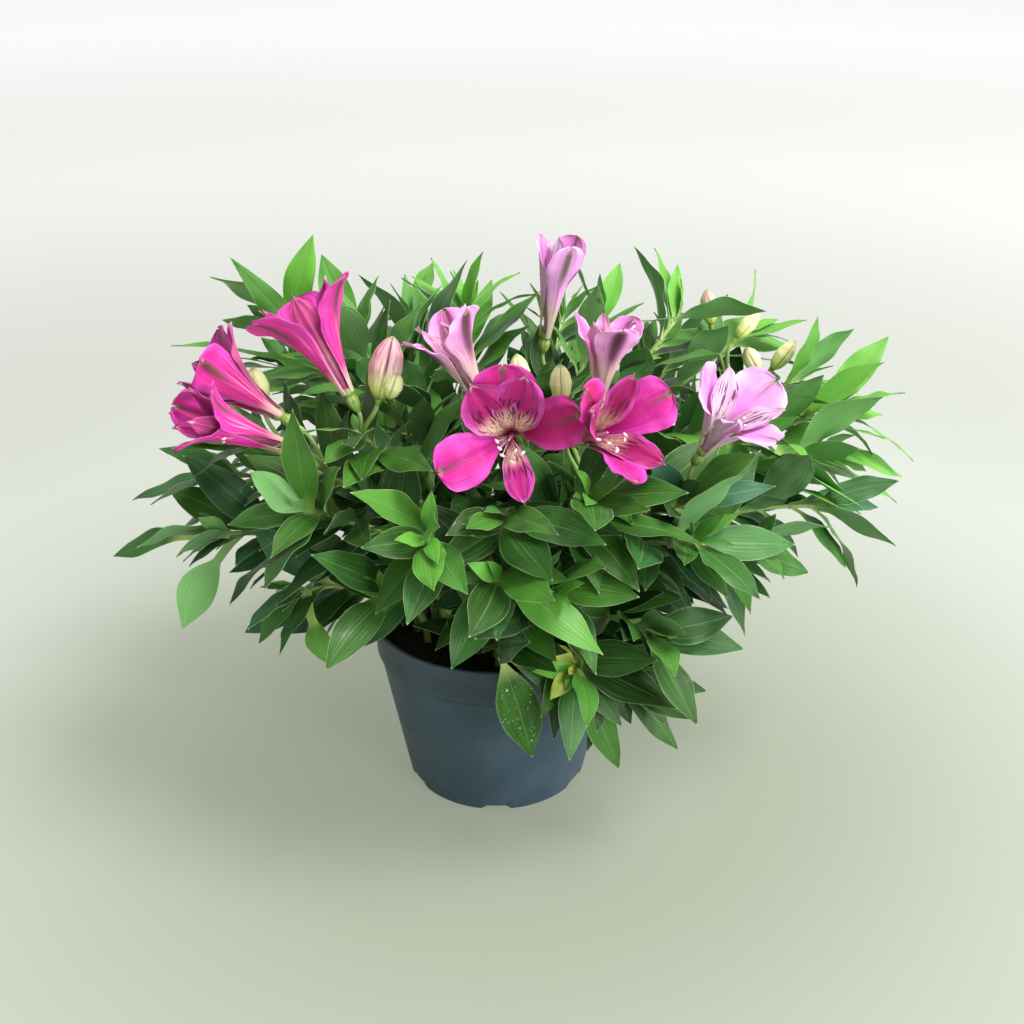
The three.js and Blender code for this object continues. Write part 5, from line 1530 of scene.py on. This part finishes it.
def outer_tepal_material(name, look):
    """Outer tepal: silky, streaked along its veins, cream towards its foot, with a green-brown
    stripe on the tip's keel."""
    material, tree, shader = start_material(name + "_outer_tepal_silk", 0.5, 0.3)
    across, along, face = read_parts(tree, "spot")
    deep, chance, _ = read_parts(tree, "nature")
    edge = add(tree, "Math", {0: across}, operation="ABSOLUTE")
    wrinkles, streaks = petal_shine(tree, shader, across, along, chance)
    clouds = surface_noise(tree, 7)
    under = (face, 0.6, 0.4)
    heart_end = look["heart_end"]
    stripe_from = look["stripe_from"]
    stripe_edge = look["stripe_edge"]
    stripe_above = where(
        tree, (edge, stripe_edge, 0.02), (along, stripe_from - 0.16, 0.95), (wrinkles, 0.3, 0.55)
    )
    stripe_below = where(
        tree, under, (edge, stripe_edge * 1.3, 0.05), (along, stripe_from - 0.3, stripe_from),
        (along, 1.0, 0.92),
    )
    colour = paint(
        tree, look["body"],
        (look["edge"], where(tree, (edge, 0.25, 1.0)), 0.8),
        (look["edge"], where(tree, (clouds, 0.45, 0.7)), 0.35),
        (look["deep"], where(tree, (deep, 0.0, 1.0), (edge, 1.4, 0.3)), 0.7),
        (look["line"], where(tree, (edge, 0.5, 0.1), (along, 0.15, 0.45), (along, 0.95, 0.6)), 0.35),
        (look["line"], where(tree, (wrinkles, 0.48, 0.66)), 0.4),
        (look["back"], where(tree, under), 0.6),
        (look["edge"], where(tree, under, (edge, 0.4, 1.0), (along, 0.35, 0.75)), 0.6),
        (look["line"], where(tree, under, (streaks, 0.5, 0.62), (along, 1.1, 0.5)), 0.5),
        (look["cream"], where(tree, under, (streaks, 0.45, 0.34), (along, 0.8, 0.3)), 0.5),
        (look["deep"], where(tree, under, (along, 0.55, 0.1), (streaks, 0.4, 0.6)), 0.6),
        (look["heart"], where(tree, (along, heart_end * 2.4, heart_end * 0.6)), 0.75),
        (look["stripe"], stripe_above, 0.85),
        (look["stripe"], stripe_below, 0.85),
        (look["tip"], where(tree, (along, 0.95, 0.985), (edge, 0.4, 0.1)), 0.85),
    )
    tree.links.new(colour, shader.inputs["Base Color"])
    return material


def inner_tepal_material(name, look):
    """Inner tepal: silky, with a pale band under dark brush strokes and specks that lead into
    the throat."""
    material, tree, shader = start_material(name + "_inner_tepal_silk", 0.5, 0.3)
    across, along, face = read_parts(tree, "spot")
    deep, chance, _ = read_parts(tree, "nature")
    edge = add(tree, "Math", {0: across}, operation="ABSOLUTE")
    wrinkles, streaks = petal_shine(tree, shader, across, along, chance)
    strokes = stretched_noise(tree, across, along, chance, (11, 5.5, 70), 1.0)
    specks = stretched_noise(tree, across, along, chance, (22, 26, 90), 1.0)
    under = (face, 0.6, 0.4)
    start, end = look["dash_from"], look["dash_to"]
    heart_end = look["heart_end"]
    band = where(tree, (along, 0.12, 0.24), (along, 0.62, 0.36), (edge, 1.15, 0.6), (deep, 1.15, 0.7))
    dashes = where(
        tree, (strokes, 0.54, 0.59), (along, start, start + 0.14), (along, end, end - 0.1),
        (edge, 1.05, 0.85),
    )
    colour = paint(
        tree, look["body"],
        (look["edge"], where(tree, (edge, 0.3, 1.0)), 0.6),
        (look["deep"], where(tree, (deep, 0.0, 1.0), (edge, 1.2, 0.5)), 0.8),
        (look["line"], where(tree, (wrinkles, 0.48, 0.66)), 0.4),
        (look["band"], band, 0.9),
        (look["heart"], where(tree, (along, heart_end * 1.6, heart_end * 0.7)), 0.8),
        (look["dash"], where(tree, (specks, 0.54, 0.6), (along, 0.14, 0.22), (along, 0.56, 0.36)), 0.8),
        (look["dash"], dashes, 0.9),
        (look["back"], where(tree, under), 0.7),
        (look["line"], where(tree, under, (streaks, 0.5, 0.6)), 0.5),
        (look["tip"], where(tree, (along, 0.93, 0.985), (edge, 0.7, 0.2)), 0.75),
    )
    tree.links.new(colour, shader.inputs["Base Color"])
    return material


def thread_material():
    """Stamen thread: moist and pink, paler towards its foot."""
    material, tree, shader = start_material("stamen_thread_moist", 0.4, 0.45)
    _, along, _ = read_parts(tree, "spot")
    colour = paint(tree, "#a82f68", ("#e39cc6", where(tree, (along, 0.2, 0.9)), 0.85))
    tree.links.new(colour, shader.inputs["Base Color"])
    return material


def anther_material():
    """Anther: dusty cream pollen over a pinkish case."""
    material, tree, shader = start_material("dusty_anther", 0.8, 0.2)
    dust = surface_noise(tree, 0.7)
    colour = paint(tree, "#f2dfd0", ("#c89a94", where(tree, (dust, 0.5, 0.7)), 0.6))
    tree.links.new(colour, shader.inputs["Base Color"])
    dent(tree, shader, dust, 0.15)
    return material


def bud_material():
    """Bud: firm tepals folded over each other, yellow-green at the foot, with paler ribs.
    A bud near opening turns pink from its tip."""
    material, tree, shader = start_material("folded_bud_satin", 0.42, 0.45)
    lap, along, _ = read_parts(tree, "spot")
    pink, chance, _ = read_parts(tree, "nature")
    ribs_in_lap = 6.0
    ribs = add(tree, "Math", {0: lap, 1: ribs_in_lap}, operation="MULTIPLY")
    rib = add(tree, "Math", {0: ribs, 1: 0.5}, operation="PINGPONG")
    streaks = stretched_noise(tree, lap, along, chance, (14, 3, 30))
    colour = paint(
        tree, "#d9e67c",
        ("#fbfcc0", where(tree, (along, 0.1, 0.55)), 0.85),
        ("#b3c862", where(tree, (rib, 0.16, 0.04)), 0.35),
        ("#efcfa4", where(tree, (streaks, 0.52, 0.72), (along, 0.5, 0.9)), 0.3),
        ("#e58d6c", where(tree, (pink, 0.08, 0.3), (along, 0.62, 0.95), (streaks, 0.4, 0.6)), 0.6),
        ("#dca0b4", where(tree, (pink, 0.1, 0.9), (along, 0.15, 0.7)), 0.85),
        ("#b75a86", where(tree, (pink, 0.2, 1.0), (streaks, 0.48, 0.62), (along, 0.1, 0.5)), 0.6),
        ("#7d9a3e", where(tree, (along, 0.9, 0.99)), 0.6),
        ("#6f7f38", where(tree, (lap, 0.06, 0.0)), 0.6),
        ("#5d1a33", where(tree, (lap, 0.1, 0.02), (pink, 0.7, 0.9), (along, 0.35, 0.55)), 0.95),
        ("#7d9d45", where(tree, (along, 0.16, 0.0)), 0.7),
    )
    tree.links.new(colour, shader.inputs["Base Color"])
    relief = add(tree, "Math", {0: rib, 1: streaks}, operation="ADD")
    dent(tree, shader, relief, 0.25)
    return material


def pot_material():
    """Nursery pot: thin moulded polypropylene, slate grey, satin, with a fine grain from the
    mould, a painted shadow line under the band, painted shade that darkens the pot from the
    ledge up, dull scuffs and a rubbed foot."""
    material, tree, shader = start_material("moulded_polypropylene_slate", 0.5, 0.45)
    place_on_pot = add(tree, "TexCoord", {}, out=3)
    height = add(tree, "SeparateXYZ", {0: place_on_pot}, out=2)
    clouds = surface_noise(tree, 26)
    grain = surface_noise(tree, 0.9)
    stretched = add(tree, "Mapping", {"Vector": place_on_pot, "Scale": (40.0, 40.0, 420.0)})
    scuffs = add(tree, "TexNoise", {"Vector": stretched, "Scale": 1.0, "Detail": 4.0})
    specks = surface_noise(tree, 1.6)
    ledge = POT_HEIGHT - POT_BAND_HEIGHT
    # Painted shadow: a dark line just under the band's ledge, where the ledge's shadow would fall.
    painted_ledge_shadow = where(
        tree, (height, (ledge - 3.5) * MM, (ledge - 0.5) * MM),
        (height, (ledge + 0.4) * MM, (ledge - 0.2) * MM),
    )
    colour = paint(
        tree, "#354a59",
        ("#465a66", where(tree, (clouds, 0.42, 0.66)), 0.5),
        ("#54656f", where(tree, (scuffs, 0.56, 0.74)), 0.12),
        ("#27333a", painted_ledge_shadow, 0.7),
        # Painted shade: the pot is darker from the ledge up, over the band and the lip.
        ("#2f3d45", where(tree, (height, (ledge + 0.5) * MM, (ledge + 5) * MM)), 0.3),
        ("#8b949a", where(tree, (specks, 0.6, 0.72), (height, 9 * MM, 1 * MM)), 0.55),
        ("#7a838a", where(tree, (specks, 0.7, 0.76)), 0.3),
        ("#2c343b", where(tree, (grain, 0.55, 0.75)), 0.18),
    )
    tree.links.new(colour, shader.inputs["Base Color"])
    roughness = add(tree, "MapRange", {0: scuffs, 1: 0.3, 2: 0.7, 3: 0.42, 4: 0.6})
    tree.links.new(roughness, shader.inputs["Roughness"])
    dent(tree, shader, grain, 0.05)
    return material


def peat_material():
    """Damp peat: nearly black, fibrous and dull, with paler crumbs."""
    material, tree, shader = start_material("damp_peat", 0.92, 0.25)
    crumbs = surface_noise(tree, 2.2)
    fibres = surface_noise(tree, 6)
    colour = paint(
        tree, "#1d1813",
        ("#3a2d22", where(tree, (crumbs, 0.5, 0.7)), 0.8),
        ("#6b5a48", where(tree, (crumbs, 0.66, 0.74), (fibres, 0.5, 0.6)), 0.7),
    )
    tree.links.new(colour, shader.inputs["Base Color"])
    dent(tree, shader, crumbs, 0.8)
    return material


def floor_material():
    """Studio sweep: matt paper, painted lighter from sage near the pot to nearly white far away, and
    glowing with painted light that brightens it and lightens the shadows near the pot.
    """
    material, tree, shader = start_material("matt_paper_sweep", 0.95, 0.1)
    spot = add(tree, "TexCoord", {}, out=3)
    far = add(tree, "VectorMath", {0: spot}, out=1, operation="LENGTH")
    # Painted light: the paper's colour lightens with distance from the pot, as if lit more strongly far
    # away.
    colour = paint(
        tree, "#72776a",
        ("#90938d", where(tree, (far, 0.12, 0.52)), 1.0),
        ("#b0b1ae", where(tree, (far, 0.5, 1.8)), 1.0),
        ("#c6c6c6", where(tree, (far, 1.5, 4.0)), 1.0),
    )
    tree.links.new(colour, shader.inputs["Base Color"])
    # Painted light: the paper glows in its own colour, most strongly near the pot, which lightens the
    # shadows there.
    tree.links.new(colour, shader.inputs["Emission Color"])
    painted_glow_ends = {0: far, 1: 0.15, 2: 0.8, 3: 1.46, 4: 1.02}
    painted_glow = add(tree, "MapRange", painted_glow_ends, interpolation_type="SMOOTHSTEP")
    tree.links.new(painted_glow, shader.inputs["Emission Strength"])
    return material


# The plant

shoots = [(name, [place(tip)], leaves, LOWEST_LEAF["flower"]) for name, tip, leaves in FLOWER_STEMS]
shoots += [
    ("shoot_" + name, [place(tip)], leaves, LOWEST_LEAF["leafy"])
    for name, tip, leaves in LEAFY_SHOOTS
]
shoots += [
    ("shoots_" + name, [place(tip) for tip in tips], leaves, LOWEST_LEAF["clump"])
    for name, tips, leaves in BACK_CLUMPS
]
stems = {}
for (name, tips, _, _), root in zip(shoots, place_roots([tips[0] for _, tips, _, _ in shoots])):
    made = [make_stem(root, tip) for tip in tips]
    stems[name] = [stem._replace(across=made[0].across) for stem in made]


def corners_of(node):
    """The corners of a CAD node, to be searched by place."""
    places = [vertex.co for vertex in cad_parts[node].data.vertices]
    tree = kdtree.KDTree(len(places))
    for i, co in enumerate(places):
        tree.insert(co, i)
    tree.balance()
    return tree


corners = {name: corners_of(name) for name in stems}
leaves = {name: [] for name in stems}
for name, t, tip, width in PLACED_LEAVES:
    name = name if name in stems else "shoot_" + name
    leaf = grown_leaf(placed_leaf(stems[name][0], t, tip, width), corners[name])
    if leaf:
        leaves[name].append((t, leaf))
for name, _, count, lowest in shoots:
    for stem in stems[name]:
        for t, leaf in rule_leaves(stem, count, lowest):
            grown = grown_leaf(leaf, corners[name])
            if grown:
                leaves[name].append((t, grown))
for name, left_out in LEFT_OUT.items():
    leaves[name] = [entry for i, entry in enumerate(leaves[name]) if i not in left_out]
own_looks = dict(LEAF_LOOKS)
for name, t, tip, width, look in ADDED_LEAVES:
    own_looks[name, len(leaves[name])] = look
    leaves[name].append((t, placed_leaf(stems[name][0], t, tip, width)))


def block_of(node):
    """A CAD node as something that no leaf may cross."""
    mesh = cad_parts[node].data
    corners_in_mm = [tuple(vertex.co / MM) for vertex in mesh.vertices]
    return BVHTree.FromPolygons(corners_in_mm, [tuple(face.vertices) for face in mesh.polygons])


# What no further leaf may cross, and the points of the flowers and of the front of the pot that
# none may hide from the camera.
flower_nodes = [bloom["name"] for bloom in BLOOMS] + [bud[0] for bud in BUDS]
flower_points = np.array([
    vertex.co / MM for node in flower_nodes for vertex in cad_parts[node].data.vertices
])
camera_rise = CAMERA_DISTANCE * math.sin(CAMERA_ELEVATION * DEGREE)
camera_back = CAMERA_DISTANCE * math.cos(CAMERA_ELEVATION * DEGREE)
eye = place(CAMERA_TARGET) + (0, -camera_back, camera_rise)
pot_points = np.array([
    (mix(POT_FOOT_RADIUS, POT_RIM_RADIUS, z / POT_HEIGHT) * math.sin(a), -POT_RIM_RADIUS * math.cos(a), z)
    for a in np.radians(np.arange(*POT_FRONT_ANGLES))
    for z in np.arange(*POT_FRONT_HEIGHTS)
])
crown = Crown(
    [leaf for found in leaves.values() for _, leaf in found],
    [block_of(node) for node in ["pot", *flower_nodes]], np.vstack([flower_points, pot_points]), eye,
)
all_stems = [(name, stem) for name in stems for stem in stems[name]]
fillers = []
for name, stem in all_stems:
    fillers += tuft(crown, name, stem)
fillers += fill_crown(crown, all_stems)

materials = {
    "leaf": leaf_material(), "stem": stem_material(), "ovary": ovary_material(),
    "thread": thread_material(), "anther": anther_material(), "bud": bud_material(),
}
shapes = {}
for name in stems:
    shape = shapes[name] = Shape()
    stem_nature = (FRESH_SHOOTS.get(name, 0.1), BLUE_SHOOTS.get(name, 0.1), 0.5)
    for stem in stems[name]:
        draw_stem(shape, stem, stem_nature, materials["stem"])
    for i, (t, leaf) in enumerate(leaves[name]):
        common_look = (*leaf_nature(name, t, leaf.length), 0, LEAF_STALK_SHARE)
        *nature, facing, stalk = own_looks.get((name, i), common_look)
        draw_leaf(shape, face_to(leaf, eye, facing)._replace(stalk=stalk), nature, materials["leaf"])
for name, t, leaf in fillers:
    nature = leaf_nature(name, t, leaf.length)
    if name in YELLOWING_SHOOTS and t == 1 and looks.random() < YELLOWING_SHARE:
        nature[2] = YELLOWED
    draw_leaf(shapes[name], leaf, nature, materials["leaf"], FILLER_ROWS, FILLER_COLUMNS)

tepal_materials = {
    colours: {
        "outer": outer_tepal_material(colours, look["outer"]),
        "inner": inner_tepal_material(colours, look["inner"]),
    }
    for colours, look in TEPAL_LOOKS.items()
}
for bloom in BLOOMS:
    colours, stem_name = bloom["colours"], bloom["stem"]
    piece, base, axis = draw_bloom(bloom, {**materials, **tepal_materials[colours]})
    stand_for(piece, bloom["name"])
    draw_stalk(shapes[stem_name], stems[stem_name][0], base, axis, True, materials)

for name, stem_name, base, tip, radius, pink in BUDS:
    base, tip = place(base), place(tip)
    shape = Shape()
    draw_bud(shape, base, tip, radius, pink, materials["bud"])
    if name == "bud_opening":
        draw_bud(shape, base + SIDE_BUD_BASE, base + SIDE_BUD_TIP, SIDE_BUD_RADIUS, 0, materials["bud"])
    stand_for(shape.build(name + "_fine"), name)
    draw_stalk(shapes[stem_name], stems[stem_name][0], base, unit(tip - base), False, materials)

for name, shape in shapes.items():
    stand_for(shape.build(name + "_fine"), name)

stand_for(draw_pot(pot_material()), "pot")
stand_for(draw_soil(peat_material()), "soil")


# The studio

def make_floor():
    """A paper sweep: a wide floor that turns up far behind."""
    rows = [(-FLOOR_REACH, 0.0)] + [(y, 0.0) for y in np.linspace(-1, FLOOR_BACK, 7)]
    rows += [
        (FLOOR_BACK + FLOOR_TURN * math.sin(a), FLOOR_TURN - FLOOR_TURN * math.cos(a))
        for a in np.linspace(0.1, 1.5, 9)
    ]
    rows.append((FLOOR_BACK + FLOOR_TURN, FLOOR_TOP))
    points = [(x, y, z) for y, z in rows for x in (-FLOOR_REACH, FLOOR_REACH)]
    faces = [(2 * i, 2 * i + 1, 2 * i + 3, 2 * i + 2) for i in range(len(rows) - 1)]
    mesh = bpy.data.meshes.new("floor")
    mesh.from_pydata(points, [], faces)
    mesh.shade_smooth()
    mesh.materials.append(floor_material())
    made = bpy.data.objects.new("floor", mesh)
    bpy.context.scene.collection.objects.link(made)
    return made


def aim(item, target):
    """Turns a light or the camera to look at a point."""
    item.rotation_euler = (Vector(target) - item.location).to_track_quat("-Z", "Y").to_euler()


def add_light(name, at, width, watts, colour):
    """A soft box."""
    lamp = bpy.data.lights.new(name, "AREA")
    lamp.shape = "SQUARE"
    lamp.size = width
    lamp.energy = watts
    lamp.color = linear(colour)[:3]
    made = bpy.data.objects.new(name, lamp)
    made.location = at
    bpy.context.scene.collection.objects.link(made)
    aim(made, LIGHTS_AIM)


def add_camera():
    """The camera, where the photograph was taken from."""
    lens = bpy.data.cameras.new("camera")
    lens.lens = CAMERA_LENS
    lens.sensor_width = CAMERA_SENSOR
    made = bpy.data.objects.new("camera", lens)
    target = Vector(CAMERA_TARGET) * MM
    made.location = Vector(eye) * MM
    bpy.context.scene.collection.objects.link(made)
    aim(made, target)
    bpy.context.scene.camera = made


make_floor()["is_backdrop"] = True
add_camera()
for name, light in LIGHTS.items():
    add_light(name, *light)
world = bpy.data.worlds.new("studio")
bpy.context.scene.world = world
world.use_nodes = True
sky = world.node_tree.nodes["Background"]
sky.inputs["Color"].default_value = linear(SKY_COLOUR)
sky.inputs["Strength"].default_value = SKY_STRENGTH
bpy.context.scene.view_settings.view_transform = "Standard"

sizes = {"before": size_before, "after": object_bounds()}
{when: [list(corner) for corner in box] for when, box in sizes.items()}
